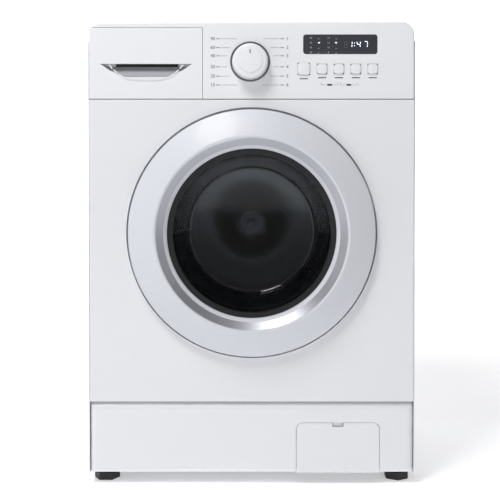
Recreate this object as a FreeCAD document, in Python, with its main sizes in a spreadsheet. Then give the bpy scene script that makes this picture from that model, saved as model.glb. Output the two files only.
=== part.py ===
"""Front-load washing machine, as a parametric assembly of separate pieces.

Frame: +Z up, the front of the machine faces -Y, and the origin lies on the floor
under the middle of the machine's bounding box. All lengths are in millimetres.
"""

import FreeCAD, Part
import math
import os

import Sketcher
from FreeCAD import Rotation, Vector

OUTPUT_FOLDER = "parts"
TINY = 0.01
DOC = FreeCAD.newDocument("washing_machine")

# --------------------------------------------------------------------------
# Driving dimensions. Each line is one cell of the sheet: its alias and value.
# --------------------------------------------------------------------------
DRIVING_SIZES = {
    # cabinet
    "cabinet_width": 597,
    "cabinet_height": 848,
    "cabinet_depth": 485,
    "door_proud": 38,
    "rear_proud": 18,
    "sheet_steel": 1.2,
    "panel_gap": 0.3,
    "underside_height": 21,
    "kick_height": 130,
    "kick_low_round": 12,
    "front_seam": 2.5,
    "fascia_height": 140,
    "fascia_depth": 60,
    "plastic_wall": 2.5,
    "shoulder_round": 23,
    "edge_round": 5,
    "side_inset": 1.5,
    "panel_return": 18,
    "top_height": 35,
    "front_flange": 17,
    "rear_flange": 60,
    "rear_strip_height": 143,
    "rear_window_bottom": 70,
    # door and its seat in the front panel
    "drum_axis_height": 463,
    "rim_radius": 225,
    "rim_gap": 4.5,
    "seat_depth": 12,
    "mouth_radius": 166,
    "mouth_flange": 12,
    "crest_radius": 179,
    "window_radius": 154,
    "ring_wall": 3,
    "glass_wall": 5,
    "bowl_radius": 120,
    "bowl_depth": 92,
    "hinge_offset": 205,
    "hinge_forward": 12.5,
    "hinge_pin_radius": 3,
    "hinge_knuckle": 5.6,
    "hinge_leaf_half": 26,
    "grip_half": 50,
    "door_swing_gap": 33,
    "hook_offset": 193,
    # suspended group
    "tub_radius": 262,
    "tub_wall": 4,
    "tub_front_plane": 70,
    "tub_joint_plane": 230,
    "tub_back_plane": 384,
    "tub_hub_length": 36,
    "drum_radius": 236,
    "drum_wall": 1.5,
    "drum_mouth_radius": 138,
    "drum_front_plane": 84,
    "drum_back_plane": 361,
    "lifter_height": 80,
    "shaft_radius": 15,
    "running_gap": 0.05,
    "front_bearing_radius": 36,
    "rear_bearing_radius": 31,
    "pulley_radius": 140,
    "pulley_plane": 436,
    "belt_width": 12,
    "belt_thickness": 3,
    "motor_height": 125,
    "motor_radius": 62,
    "motor_length": 140,
    "motor_pulley_radius": 10,
    "spring_offset": 235,
    "spring_plane": 246,
    "spring_low": 642,
    "spring_drop": 54,
    "spring_radius": 9,
    "spring_wire": 1.8,
    "damper_low_offset": 212,
    "damper_low_height": 50,
    "damper_high_offset": 152,
    "damper_high_height": 231,
    "damper_plane": 200,
    "damper_radius": 14,
    "damper_eye": 10,
    # controls
    "drawer_right": 89.4,
    "drawer_top_margin": 10,
    "drawer_face_depth": 25,
    "drawer_gap": 0.8,
    "tray_depth": 185,
    "handle_middle": 192.5,
    "handle_drop": 76.5,
    "handle_half": 84,
    "knob_offset": 3,
    "knob_drop": 72.5,
    "knob_radius": 31.5,
    "knob_proud": 25,
    "knob_ring_radius": 36.5,
    "display_offset": 161.5,
    "display_drop": 41,
    "display_width": 135.5,
    "display_tall": 36,
    "display_round": 5,
    "button_drop": 85.8,
    "start_button_offset": 94.9,
    "start_button_size": 21.7,
    "button_offset": 128.1,
    "button_pitch": 30.8,
    "button_size": 17.9,
    "button_round": 4,
    "button_proud": 2,
    "button_gap": 0.5,
    # plinth, filter and feet
    "flap_offset": 158,
    "flap_width": 152,
    "flap_top": 114,
    "flap_round": 12,
    "flap_gap": 0.8,
    "flap_hinge_height": 27.5,
    "flap_hinge_depth": 6,
    "filter_height": 68,
    "filter_radius": 30,
    "foot_offset": 272,
    "foot_inset": 48,
    "foot_flats": 41,
    "foot_pad_height": 13,
    "foot_stud_radius": 6,
    "lock_nut_flats": 19,
    # services on the back
    "inlet_offset": 190,
    "inlet_drop": 78,
    "inlet_thread_radius": 13.2,
    "drain_offset": 276,
    "drain_drop": 96,
    "drain_spigot_radius": 9,
}


class Size:
    """A length with its value and the sheet expression that it comes from."""

    def __init__(self, value, text):
        self.value = float(value)
        self.text = text

    def __add__(self, other):
        other = size(other)
        return Size(self.value + other.value, f"({self.text} + {other.text})")

    def __sub__(self, other):
        other = size(other)
        return Size(self.value - other.value, f"({self.text} - {other.text})")

    def __mul__(self, other):
        other = size(other)
        return Size(self.value * other.value, f"({self.text} * {other.text})")

    def __truediv__(self, other):
        other = size(other)
        return Size(self.value / other.value, f"({self.text} / {other.text})")

    def __radd__(self, other):
        return size(other) + self

    def __rsub__(self, other):
        return size(other) - self

    def __rmul__(self, other):
        return size(other) * self

    def __neg__(self):
        return 0 - self


def size(value):
    """Any number as a Size."""
    return value if isinstance(value, Size) else Size(value, f"({float(value):.6f})")


def square_root(value):
    """The square root of a Size."""
    return Size(math.sqrt(value.value), f"sqrt({value.text})")


class Sizes:
    """The sheet's cells as attributes, each a Size."""


def make_sheet():
    """Puts every driving dimension into the sheet and returns them as Sizes."""
    sheet = DOC.addObject("Spreadsheet::Sheet", "Sizes")
    cells = Sizes()
    for row, (alias, value) in enumerate(DRIVING_SIZES.items(), start=1):
        sheet.set(f"A{row}", alias.replace("_", " "))
        sheet.set(f"B{row}", str(value))
        sheet.setAlias(f"B{row}", alias)
        setattr(cells, alias, Size(value, f"Sizes.{alias}"))
    DOC.recompute()
    return cells


s = make_sheet()

# Planes that the pieces share, worked out from the driving dimensions.
half_width = s.cabinet_width / 2
front = (s.door_proud - s.cabinet_depth - s.rear_proud) / 2
back = front + s.cabinet_depth
rear_end = back + s.rear_proud
kick_top = s.underside_height + s.kick_height
panel_bottom = kick_top + s.front_seam
fascia_bottom = s.cabinet_height - s.fascia_height
panel_top = fascia_bottom - s.side_inset
face_half = half_width - s.side_inset
seat_radius = s.rim_radius + s.rim_gap
seat_floor = front + s.seat_depth
inner_half = half_width - s.sheet_steel - s.panel_gap
base_bottom = s.underside_height + s.side_inset
base_front = front + 24
base_back = back - s.sheet_steel - s.panel_gap
axis_z = s.drum_axis_height
handle_top = s.cabinet_height - s.handle_drop
knob_height = s.cabinet_height - s.knob_drop
display_height = s.cabinet_height - s.display_drop
button_height = s.cabinet_height - s.button_drop
rear_strip_bottom = s.cabinet_height - s.rear_strip_height
spring_high = s.cabinet_height - s.spring_drop
inlet_height = s.cabinet_height - s.inlet_drop
drain_height = s.cabinet_height - s.drain_drop


def bind(item, name, value):
    """Ties a property of an object to the sheet, or sets it where it is a plain number."""
    item.setExpression(name, size(value).text)


def box_of(x0, y0, x1, y1):
    """The corners of a rectangle."""
    return [(x0, y0), (x1, y0), (x1, y1), (x0, y1)]


class Disc:
    """A circle in a sketch."""

    def __init__(self, x, y, radius):
        self.x, self.y, self.radius = size(x), size(y), size(radius)


class Piece:
    """One sub-part that is built feature by feature in a PartDesign body."""

    AXES = {"XY_Plane": (1, False, True), "XZ_Plane": (-1, True, False), "YZ_Plane": (1, False, True)}

    def __init__(self, label):
        self.label = label
        self.body = DOC.addObject("PartDesign::Body", label)
        self.features = 0
        self.filled = 0

    def sketch(self, plane, level, loops):
        """A closed sketch on one of the body's own planes, moved to the level."""
        self.features += 1
        made = self.body.newObject("Sketcher::SketchObject", f"{self.label}_sketch_{self.features}")
        origin = next(f for f in self.body.Origin.OriginFeatures if f.Role == plane)
        made.AttachmentSupport = [(origin, "")]
        made.MapMode = "FlatFace"
        bind(made, "AttachmentOffset.Base.z", self.AXES[plane][0] * size(level))
        for loop in loops:
            if isinstance(loop, Disc):
                draw_disc(made, loop)
            else:
                draw_polygon(made, [(size(x), size(y)) for x, y in loop])
        return made

    def pad(self, plane, start, end, *loops):
        """Adds the loops' area between two levels."""
        made = self.body.newObject("PartDesign::Pad", f"{self.label}_pad_{self.features}")
        made.Profile = self.sketch(plane, start, loops)
        made.Reversed = self.AXES[plane][1]
        bind(made, "Length", size(end) - start)
        return self.grown(made, 1)

    def pocket(self, plane, start, end, *loops):
        """Takes the loops' area away between two levels."""
        made = self.body.newObject("PartDesign::Pocket", f"{self.label}_pocket_{self.features}")
        made.Profile = self.sketch(plane, start, loops)
        made.Reversed = self.AXES[plane][2]
        bind(made, "Length", size(end) - start)
        return self.grown(made, -1)

    def turn(self, points, groove=False):
        """Turns a profile of (radius, y) points about the Y axis."""
        kind = "PartDesign::Groove" if groove else "PartDesign::Revolution"
        made = self.body.newObject(kind, f"{self.label}_turned_{self.features}")
        made.Profile = self.sketch("XY_Plane", 0, [points])
        made.ReferenceAxis = (made.Profile[0], ["V_Axis"])
        made.Angle = 360
        return self.grown(made, -1 if groove else 1)

    def grown(self, feature, sign):
        """Recomputes, and stops if a feature added or took away nothing."""
        self.body.Tip = feature
        DOC.recompute()
        change = self.body.Shape.Volume - self.filled
        if sign * change <= TINY:
            raise ValueError(f"{self.label}: {feature.Name} changed nothing")
        self.filled += change
        return self

    def round(self, radius, test):
        """Rounds the edges whose bounding box passes the test."""
        base = self.body.Tip
        self.features += 1
        made = self.body.newObject("PartDesign::Fillet", f"{self.label}_fillet_{self.features}")
        names = [f"Edge{n}" for n, e in enumerate(base.Shape.Edges, 1) if test(e.BoundBox)]
        made.Base = (base, names)
        bind(made, "Radius", radius)
        self.body.Tip = made
        DOC.recompute()
        self.filled = self.body.Shape.Volume
        return self

    def place(self, x=0, y=0, z=0):
        """Moves the body."""
        for name, value in zip("xyz", (x, y, z)):
            bind(self.body, f"Placement.Base.{name}", value)
        DOC.recompute()
        return self


def draw_polygon(sketch, points):
    """Adds a closed polygon whose corners are tied to the sheet."""
    first = sketch.GeometryCount
    count = len(points)
    for n in range(count):
        (x0, y0), (x1, y1) = points[n], points[(n + 1) % count]
        ends = Vector(x0.value, y0.value, 0), Vector(x1.value, y1.value, 0)
        sketch.addGeometry(Part.LineSegment(*ends), False)
    for n in range(count):
        sketch.addConstraint(Sketcher.Constraint("Coincident", first + n, 2, first + (n + 1) % count, 1))
    for n, (x, y) in enumerate(points):
        tie_point(sketch, first + n, 1, x, y)


def draw_disc(sketch, disc):
    """Adds a circle whose centre and radius are tied to the sheet."""
    circle = Part.Circle(Vector(disc.x.value, disc.y.value, 0), Vector(0, 0, 1), disc.radius.value)
    index = sketch.addGeometry(circle, False)
    tie_point(sketch, index, 3, disc.x, disc.y)
    radius = sketch.addConstraint(Sketcher.Constraint("Radius", index, disc.radius.value))
    sketch.setExpression(f"Constraints[{radius}]", disc.radius.text)


def tie_point(sketch, geometry, end, x, y):
    """Ties a point of the sketch to the sheet, or to an axis where it lies on one."""
    for kind, value, axis in (("DistanceX", x, -2), ("DistanceY", y, -1)):
        if abs(value.value) < 1e-9:
            sketch.addConstraint(Sketcher.Constraint("PointOnObject", geometry, end, axis))
            continue
        index = sketch.addConstraint(Sketcher.Constraint(kind, -1, 1, geometry, end, value.value))
        sketch.setExpression(f"Constraints[{index}]", value.text)


def block(name, x0, x1, y0, y1, z0, z1):
    """A Part box between two corners."""
    made = DOC.addObject("Part::Box", name)
    for side, axis, low, high in (("Length", "x", x0, x1), ("Width", "y", y0, y1), ("Height", "z", z0, z1)):
        bind(made, side, size(high) - low)
        bind(made, f"Placement.Base.{axis}", low)
    return made


TURNS = {
    "x": Rotation(Vector(0, 1, 0), 90),
    "y": Rotation(Vector(1, 0, 0), -90),
    "z": Rotation(),
}


def rod(name, axis, radius, low, high, a, b):
    """A Part cylinder along an axis from low to high; a and b place it on the other two axes in order."""
    made = DOC.addObject("Part::Cylinder", name)
    made.Placement = FreeCAD.Placement(Vector(), TURNS[axis])
    bind(made, "Radius", radius)
    bind(made, "Height", size(high) - low)
    other = [n for n in "xyz" if n != axis]
    for letter, value in zip([axis, *other], (low, a, b)):
        bind(made, f"Placement.Base.{letter}", value)
    return made


def hex_prism(name, flats, low, high, x, y, turn=0):
    """A hexagonal Part prism that stands on Z."""
    made = DOC.addObject("Part::Prism", name)
    made.Polygon = 6
    made.Placement = FreeCAD.Placement(Vector(), Rotation(Vector(0, 0, 1), turn))
    bind(made, "Circumradius", flats / math.sqrt(3))
    bind(made, "Height", size(high) - low)
    for letter, value in zip("xyz", (x, y, low)):
        bind(made, f"Placement.Base.{letter}", value)
    return made


def fuse(name, *shapes):
    """Several Part objects as one."""
    made = DOC.addObject("Part::MultiFuse", name)
    made.Shapes = list(shapes)
    made.Refine = True
    return made


def group(name, *shapes):
    """Several separate solids in one node."""
    made = DOC.addObject("Part::Compound", name)
    made.Links = list(shapes)
    return made


def cut(name, base, *tools):
    """A Part object less one or more tools."""
    made = DOC.addObject("Part::Cut", name)
    made.Base = base
    made.Tool = tools[0] if len(tools) == 1 else fuse(f"{name}_tools", *tools)
    made.Refine = True
    return made


def common(name, one, other):
    """What two Part objects share."""
    made = DOC.addObject("Part::MultiCommon", name)
    made.Shapes = [one, other]
    return made


def feature(name, shape):
    """A Part::Feature with a shape made by Part's own functions."""
    made = DOC.addObject("Part::Feature", name)
    made.Shape = shape
    return made


NODES = []


def node(item, label):
    """Marks an object as a sub-part; its label names its file."""
    item.Label = label
    NODES.append(item)
    return item


def on_plane(axis, value, clearance=TINY):
    """A test for edges or faces that lie in a plane."""
    low, high = {"x": ("XMin", "XMax"), "y": ("YMin", "YMax"), "z": ("ZMin", "ZMax")}[axis]
    level = size(value).value

    def test(bounds):
        return abs(getattr(bounds, low) - level) < clearance and abs(getattr(bounds, high) - level) < clearance

    return test


def along(axis):
    """A test for straight edges along an axis."""
    others = [n for n in "XYZ" if n != axis.upper()]

    def test(bounds):
        lengths = [getattr(bounds, f"{n}Length") for n in others]
        return max(lengths) < TINY < getattr(bounds, f"{axis.upper()}Length")

    return test


def both(*tests):
    """A test that needs all the tests."""
    return lambda bounds: all(test(bounds) for test in tests)


def above(axis, value):
    """A test for what lies wholly beyond a level."""
    level = size(value).value
    return lambda bounds: getattr(bounds, f"{axis.upper()}Min") > level - TINY


def ring_wire(radii, centres):
    """The outline of a belt round two wheels, as one closed wire in the XZ plane."""
    (big, small), (high, low) = radii, centres
    lean = math.asin((big - small) / (high - low))
    points = []
    for side in (1, -1):
        for radius, centre in ((big, high), (small, low)):
            x = side * radius * math.cos(lean)
            z = centre + radius * math.sin(lean) * -1
            points.append(Vector(x, 0, z))
    right_high, right_low, left_high, left_low = points
    top = Vector(0, 0, high + big)
    bottom = Vector(0, 0, low - small)
    edges = [
        Part.Arc(right_high, top, left_high).toShape(),
        Part.LineSegment(left_high, left_low).toShape(),
        Part.Arc(left_low, bottom, right_low).toShape(),
        Part.LineSegment(right_low, right_high).toShape(),
    ]
    return Part.Wire(edges)


def bent_path(points, radius):
    """Straight runs through the points, joined by tangent arcs of one radius."""
    edges = []
    start = points[0]
    for before, corner, after in zip(points, points[1:], points[2:]):
        one = (before - corner).normalize()
        two = (after - corner).normalize()
        half_angle = one.getAngle(two) / 2
        reach = radius / math.tan(half_angle)
        enter = corner + one * reach
        leave = corner + two * reach
        inward = (one + two).normalize()
        middle = corner + inward * (radius / math.sin(half_angle) - radius)
        edges.append(Part.LineSegment(start, enter).toShape())
        edges.append(Part.Arc(enter, middle, leave).toShape())
        start = leave
    edges.append(Part.LineSegment(start, points[-1]).toShape())
    return Part.Wire(edges)


def swept_tube(path, radius):
    """A round bar along a path."""
    edge = path.Edges[0]
    start = edge.valueAt(edge.FirstParameter)
    direction = edge.tangentAt(edge.FirstParameter)
    circle = Part.Wire([Part.Circle(start, direction, radius).toShape()])
    return path.makePipeShell([circle], True, False)


def ring(label, points):
    """A piece turned about the drum axis; its points are (radius, distance behind the front plane)."""
    made = Piece(label).turn([(radius, front + y) for radius, y in points])
    return made.place(z=axis_z)


def from_axis(x0, z0, x1, z1):
    """A rectangle whose heights are measured from the drum axis."""
    return box_of(size(x0), size(z0) - axis_z, size(x1), size(z1) - axis_z)


# --------------------------------------------------------------------------
# Cabinet
# --------------------------------------------------------------------------
SCREW_HEIGHTS = (90, 240, 390, 540, 690)
SCREW_RADIUS = 2
SIDES = (-1, 1)


def screw_places():
    """Where the screws of the back panel go, as (x, z)."""
    edge = half_width - s.rear_flange + 6
    return [(side * edge, height) for side in SIDES for height in SCREW_HEIGHTS]


def make_wrap():
    """The sheet-steel wrap: both sides, the rear flanges, the front flanges and the spring brackets."""
    wall = s.sheet_steel
    top = s.cabinet_height - s.top_height
    inside = half_width - wall
    outer = block("wrap_outer", -half_width, half_width, front + 1, back, s.underside_height, top)
    inner = block("wrap_inner", -inside, inside, front, back - wall, s.underside_height - 1, top + 1)
    edge = half_width - s.rear_flange
    window = block("wrap_window", -edge, edge, back - 5, back + 1, s.rear_window_bottom, rear_strip_bottom)
    inlet = rod("wrap_inlet", "y", s.inlet_thread_radius + 3, back - 5, back + 1,
                -s.inlet_offset, inlet_height)
    drain = rod("wrap_drain", "y", s.drain_spigot_radius + 3, back - 5, back + 1,
                s.drain_offset, drain_height)
    holes = [rod(f"wrap_screw_{n}", "y", SCREW_RADIUS + 0.1, back - 5, back + 1, x, z)
             for n, (x, z) in enumerate(screw_places())]
    sheet = cut("wrap_sheet", outer, inner, window, inlet, drain, *holes)
    flange_y = front + s.panel_return + s.panel_gap
    parts = [sheet]
    for side in SIDES:
        name = "left" if side < 0 else "right"
        near, far = sorted((side * (inside - s.front_flange), side * inside), key=lambda v: v.value)
        parts.append(block(f"wrap_flange_{name}", near, far, flange_y, flange_y + wall, kick_top, fascia_bottom))
        near, far = sorted((side * (s.spring_offset - 14), side * inside), key=lambda v: v.value)
        middle = front + s.spring_plane
        parts.append(block(f"wrap_bracket_{name}", near, far, middle - 12, middle + 12,
                           spring_high, spring_high + 3))
    node(fuse("cabinet_shell", *parts), "cabinet_shell")


def make_front_panel():
    """The front panel with the door's seat pressed into it and its mouth turned back."""
    wall = s.sheet_steel
    low, high = panel_bottom, panel_top
    panel = Piece("front_panel")
    panel.pad("XZ_Plane", front, front + s.panel_return, from_axis(-face_half, low, face_half, high))
    panel.round(2, along("z"))
    panel.pocket("XZ_Plane", front + wall, front + s.panel_return,
                 from_axis(wall - face_half, low + wall, face_half - wall, high - wall))
    panel.pocket("XZ_Plane", front, front + wall, Disc(0, 0, seat_radius))
    floor, flange = seat_floor, seat_floor + s.mouth_flange
    mouth = s.mouth_radius
    panel.turn([
        (seat_radius + wall, front), (seat_radius, front), (seat_radius, floor),
        (mouth, floor), (mouth, flange), (mouth + wall, flange),
        (mouth + wall, floor + wall), (seat_radius + wall, floor + wall),
    ])
    slot = s.hook_offset
    panel.pocket("XZ_Plane", floor, floor + wall, box_of(slot - 8, -9, slot + 14, 9))
    panel.place(z=axis_z)
    node(panel.body, "front_panel")


def make_top_cover():
    """The worktop: a thick board with a skirt below it."""
    low, high = s.cabinet_height - s.top_height + s.panel_gap, s.cabinet_height
    start, end = front + s.fascia_depth + 0.5, back + 10
    cover = Piece("top_cover")
    cover.pad("XY_Plane", low, high, box_of(-half_width, start, half_width, end))
    cover.round(s.edge_round, both(along("z"), above("y", back)))
    cover.pocket("XY_Plane", low, high - 16, box_of(3 - half_width, start + 3, half_width - 3, back - s.sheet_steel))
    node(cover.body, "top_cover")


def make_kick_panel():
    """The plinth with the opening that the filter flap closes."""
    low, high = s.underside_height, kick_top
    depth = 20
    wall = s.plastic_wall
    panel = Piece("kick_panel")
    panel.pad("XZ_Plane", front, front + depth, box_of(-face_half, low, face_half, high))
    panel.round(s.edge_round, along("y"))
    panel.round(s.kick_low_round, lambda b: on_plane("y", front)(b) and b.ZMax < low.value + 1)
    panel.pocket("XZ_Plane", front + wall, front + depth,
                 box_of(wall + 4 - face_half, low + 13, face_half - wall - 4, high - wall - 2))
    left, right = s.flap_offset - s.flap_width / 2, s.flap_offset + s.flap_width / 2
    gap = s.flap_gap
    panel.pocket("XZ_Plane", front, front + depth, box_of(left - gap, low, right + gap, s.flap_top + gap))
    panel.round(s.flap_round, lambda b: along("y")(b) and on_plane("z", s.flap_top + gap)(b))
    panel.pocket("YZ_Plane", left - gap - 4.5, right + gap + 4.5,
                 Disc(front + s.flap_hinge_depth, s.flap_hinge_height, 2.5 + s.running_gap))
    node(panel.body, "kick_panel")


def foot_places():
    """Where the four feet go, as (label, x, y, turn)."""
    rows = (("front", front + s.foot_inset), ("rear", back - s.foot_inset))
    turns = {"front_left": 0, "front_right": 30, "rear_left": 30, "rear_right": 0}
    for row, y in rows:
        for side, name in ((-1, "left"), (1, "right")):
            label = f"{row}_{name}"
            yield label, side * s.foot_offset, y, turns[label]


def make_base():
    """The base tray, its feet and their lock nuts."""
    wall = s.plastic_wall
    low, high = base_bottom, base_bottom + 40
    outer = block("tray_outer", -inner_half, inner_half, base_front, base_back, low, high)
    inner = block("tray_inner", wall - inner_half, inner_half - wall, base_front + wall, base_back - wall,
                  low + wall, high + 1)
    bosses = []
    holes = []
    nuts = []
    for label, x, y, turn in foot_places():
        bosses.append(rod(f"boss_{label}", "z", 12, low, low + 20, x, y))
        holes.append(rod(f"stud_hole_{label}", "z", s.foot_stud_radius + s.running_gap, low - 1, high, x, y))
        blank = hex_prism(f"nut_blank_{label}", s.lock_nut_flats, low - 6.3, low - 0.3, x, y)
        bore = rod(f"nut_bore_{label}", "z", s.foot_stud_radius + s.running_gap, 0, 60, x, y)
        nuts.append(cut(f"nut_{label}", blank, bore))
        pad = hex_prism(f"pad_blank_{label}", s.foot_flats, 0, s.foot_pad_height, x, y, turn)
        stud = rod(f"stud_{label}", "z", s.foot_stud_radius, s.foot_pad_height, 56, x, y)
        node(group(f"foot_{label}", pad, stud), f"foot_{label}")
    tray = cut("tray", outer, inner)
    notch = block("filter_notch", s.flap_offset - 36, s.flap_offset + 36, base_front - 1, base_front + wall + 1,
                  32, high + 1)
    node(cut("base_frame", fuse("tray_bossed", tray, *bosses), notch, *holes), "base_frame")
    node(group("foot_lock_nuts", *nuts), "foot_lock_nuts")


def make_back_panel():
    """The back panel over the rear window, and its screws."""
    edge = half_width - s.rear_flange + 12
    plate = block("back_plate", -edge, edge, back, back + 1, s.rear_window_bottom - 12, rear_strip_bottom + 12)
    holes = [rod(f"plate_screw_{n}", "y", SCREW_RADIUS + 0.1, back - 1, back + 2, x, z)
             for n, (x, z) in enumerate(screw_places())]
    node(cut("back_panel", plate, *holes), "back_panel")
    screws = []
    for n, (x, z) in enumerate(screw_places()):
        head = rod(f"screw_head_{n}", "y", 4, back + 1, back + 3, x, z)
        shank = rod(f"screw_shank_{n}", "y", SCREW_RADIUS, back - 8, back + 1, x, z)
        screws.append(fuse(f"screw_{n}", head, shank))
    node(group("cabinet_screws", *screws), "cabinet_screws")


# --------------------------------------------------------------------------
# Controls
# --------------------------------------------------------------------------
BOARD_POSTS = (-60, 250)


def button_places():
    """The push buttons as (label, x, side)."""
    yield "start_button", s.start_button_offset, s.start_button_size
    for n, label in enumerate(("temperature_button", "spin_button", "delay_button", "power_button")):
        yield label, s.button_offset + n * s.button_pitch, s.button_size


def squares(x, z, side, gap=0):
    """A square loop round a centre."""
    reach = size(side) / 2 + gap
    return box_of(x - reach, z - reach, x + reach, z + reach)


def make_fascia():
    """The control fascia: a hollow moulding with openings for the controls and the drawer."""
    low, high = fascia_bottom, s.cabinet_height
    end = front + s.fascia_depth
    fascia = Piece("control_fascia")
    fascia.pad("XZ_Plane", front, end, box_of(-face_half, low, face_half, high))
    fascia.round(s.shoulder_round, both(along("y"), above("z", high - 1)))
    fascia.round(s.edge_round - 1, lambda b: on_plane("y", front)(b) and b.ZMax > low.value + 1)
    wall = s.plastic_wall
    corner = s.shoulder_round - 5
    fascia.pocket("XZ_Plane", front + wall, end, [
        (wall - face_half, low + wall), (face_half - wall, low + wall), (face_half - wall, high - corner),
        (face_half - corner, high - wall), (corner - face_half, high - wall), (wall - face_half, high - corner)])
    wall_x = -s.drawer_right
    fascia.pad("XZ_Plane", front + 1, end, box_of(wall_x, low + 1, wall_x + s.plastic_wall, high - 1))
    fascia.pocket("XZ_Plane", front, front + s.drawer_face_depth + s.drawer_gap,
                  box_of(-half_width, low - 1, wall_x, high - s.drawer_top_margin))
    fascia.pocket("XZ_Plane", front, front + 5, Disc(-s.knob_offset, knob_height, 6 + s.running_gap))
    half, tall = s.display_width / 2 + 0.3, s.display_tall / 2 + 0.3
    x, z = s.display_offset, display_height
    fascia.pocket("XZ_Plane", front, front + 5, box_of(x - half, z - tall, x + half, z + tall))
    for _, place, side in button_places():
        fascia.pocket("XZ_Plane", front, front + 5, squares(place, button_height, side, s.button_gap))
    for x in BOARD_POSTS:
        for z in (low + 27, high - 23):
            fascia.pad("XZ_Plane", front + 1, front + 16, Disc(x, z, 4))
    node(fascia.body, "control_fascia")


def make_display():
    """The display window and the circuit board behind the controls."""
    half, tall = s.display_width / 2, s.display_tall / 2
    x, z = s.display_offset, display_height
    lens = Piece("display_lens")
    lens.pad("XZ_Plane", front + 0.4, front + 3, box_of(x - half, z - tall, x + half, z + tall))
    lens.round(s.display_round, along("y"))
    node(lens.body, "display_lens")
    board = Piece("control_board")
    board.pad("XZ_Plane", front + 16, front + 18, box_of(-68, fascia_bottom + 19, 258, s.cabinet_height - 15),
              Disc(-s.knob_offset, knob_height, 8))
    board.pad("XZ_Plane", front + 8, front + 16, box_of(x - 55, z - 14, x + 55, z + 14))
    node(board.body, "control_board")


def make_knob():
    """The programme knob on its shaft, and the ring that it turns in."""
    face = s.knob_proud
    outer = s.knob_radius
    knob = Piece("program_knob")
    knob.turn([
        (0, front - face), (22.5, front - face), (outer - 3.5, front - face + 2), (outer - 1, front - face + 6),
        (outer, front - 0.6), (outer - 3, front - 0.6), (outer - 4.5, front - face + 8),
        (10, front - face + 8), (10, front - 0.6), (6, front - 0.6), (6, front + 22), (0, front + 22),
    ])
    knob.pocket("XZ_Plane", front - face - 1, front - face + 1, box_of(-1, 12, 1, 21))
    knob.place(x=-s.knob_offset, z=knob_height)
    node(knob.body, "program_knob")
    radius = s.knob_ring_radius
    trim = Piece("knob_ring")
    trim.turn([(radius, front), (radius, front - 1), (radius - 1, front - 2), (radius - 3, front - 2),
               (radius - 3.5, front)])
    trim.place(x=-s.knob_offset, z=knob_height)
    node(trim.body, "knob_ring")


def make_buttons():
    """The push buttons, each with a stem that reaches towards the board."""
    for label, x, side in button_places():
        button = Piece(label)
        button.pad("XZ_Plane", front - s.button_proud, front + 7, squares(x, button_height, side))
        button.round(s.button_round, along("y"))
        button.pad("XZ_Plane", front + 7, front + 14, squares(x, button_height, 7))
        node(button.body, label)


# --------------------------------------------------------------------------
# Detergent dispenser
# --------------------------------------------------------------------------
def make_drawer():
    """The drawer's front with its handle pocket, the tray and the siphon cap."""
    gap = s.drawer_gap
    low, high = fascia_bottom, s.cabinet_height - s.drawer_top_margin - gap
    left, right = -face_half, -s.drawer_right - gap
    back_face = front + s.drawer_face_depth
    face = Piece("drawer_front")
    face.pad("XZ_Plane", front, back_face, box_of(left, low, right, high))
    middle, top = -s.handle_middle, handle_top
    half = s.handle_half
    face.pocket("XZ_Plane", front, front + 16, [
        (middle - half, top), (middle - half + 18, top - 12), (middle - 40, top - 23.5),
        (middle + 40, top - 23.5), (middle + half - 18, top - 12), (middle + half, top),
    ])
    face.pocket("XZ_Plane", front + 5, front + 16, box_of(middle - 58, top, middle + 58, top + 9))
    face.round(3, lambda b: on_plane("y", front)(b) and on_plane("x", left)(b))
    node(face.body, "drawer_front")
    wall = 2
    x0, x1 = tray_sides()
    floor, rim = fascia_bottom + 7, fascia_bottom + 80
    end = back_face + s.tray_depth
    tray = Piece("drawer_tray")
    tray.pad("XY_Plane", floor, rim, box_of(x0, back_face, x1, end))
    third = (x1 - x0 - 4 * wall) / 3
    loops = []
    for n in range(3):
        start = x0 + wall + n * (third + wall)
        loops.append(box_of(start, back_face + wall, start + third, end - wall))
    tray.pocket("XY_Plane", floor + wall, rim, *loops)
    node(tray.body, "drawer_tray")
    x = x0 + wall + third + wall + third / 2
    y = back_face + 60
    cap = cut("siphon_cap_blank", rod("siphon_outer", "z", 9, floor + 4, rim - 14, x, y),
              rod("siphon_inner", "z", 7, floor + 3, rim - 18, x, y))
    stand = block("siphon_stand", x - 24, x + 24, y - 1.2, y + 1.2, rim - 14, rim - 11)
    plate = block("siphon_plate", x - third / 2 + 0.2, x + third / 2 - 0.2, y - 12, y + 12, rim - 17, rim - 14)
    node(fuse("siphon_cap", cap, stand, plate), "siphon_cap")


def tray_sides():
    """The left and right faces of the dispenser tray."""
    return -face_half + 22, -s.drawer_right - 10


def make_housing():
    """The dispenser housing that the tray slides in, with its outlet below."""
    wall, gap = 2.5, 0.6
    x0, x1 = tray_sides()
    start = front + s.drawer_face_depth + 2
    end = front + s.drawer_face_depth + s.tray_depth + 14
    low, high = fascia_bottom + 7 - gap, fascia_bottom + 80 + 12
    housing = Piece("dispenser_housing")
    housing.pad("XY_Plane", low - wall, high + wall, box_of(x0 - gap - wall, start, x1 + gap + wall, end))
    housing.pocket("XZ_Plane", start, end - wall, box_of(x0 - gap, low, x1 + gap, high))
    housing.pocket("XY_Plane", low - wall, low, Disc(*housing_outlet(), 12))
    node(housing.body, "dispenser_housing")


def housing_outlet():
    """Where the dispenser's outlet is, as (x, y)."""
    return size(-205), front + 195


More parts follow.
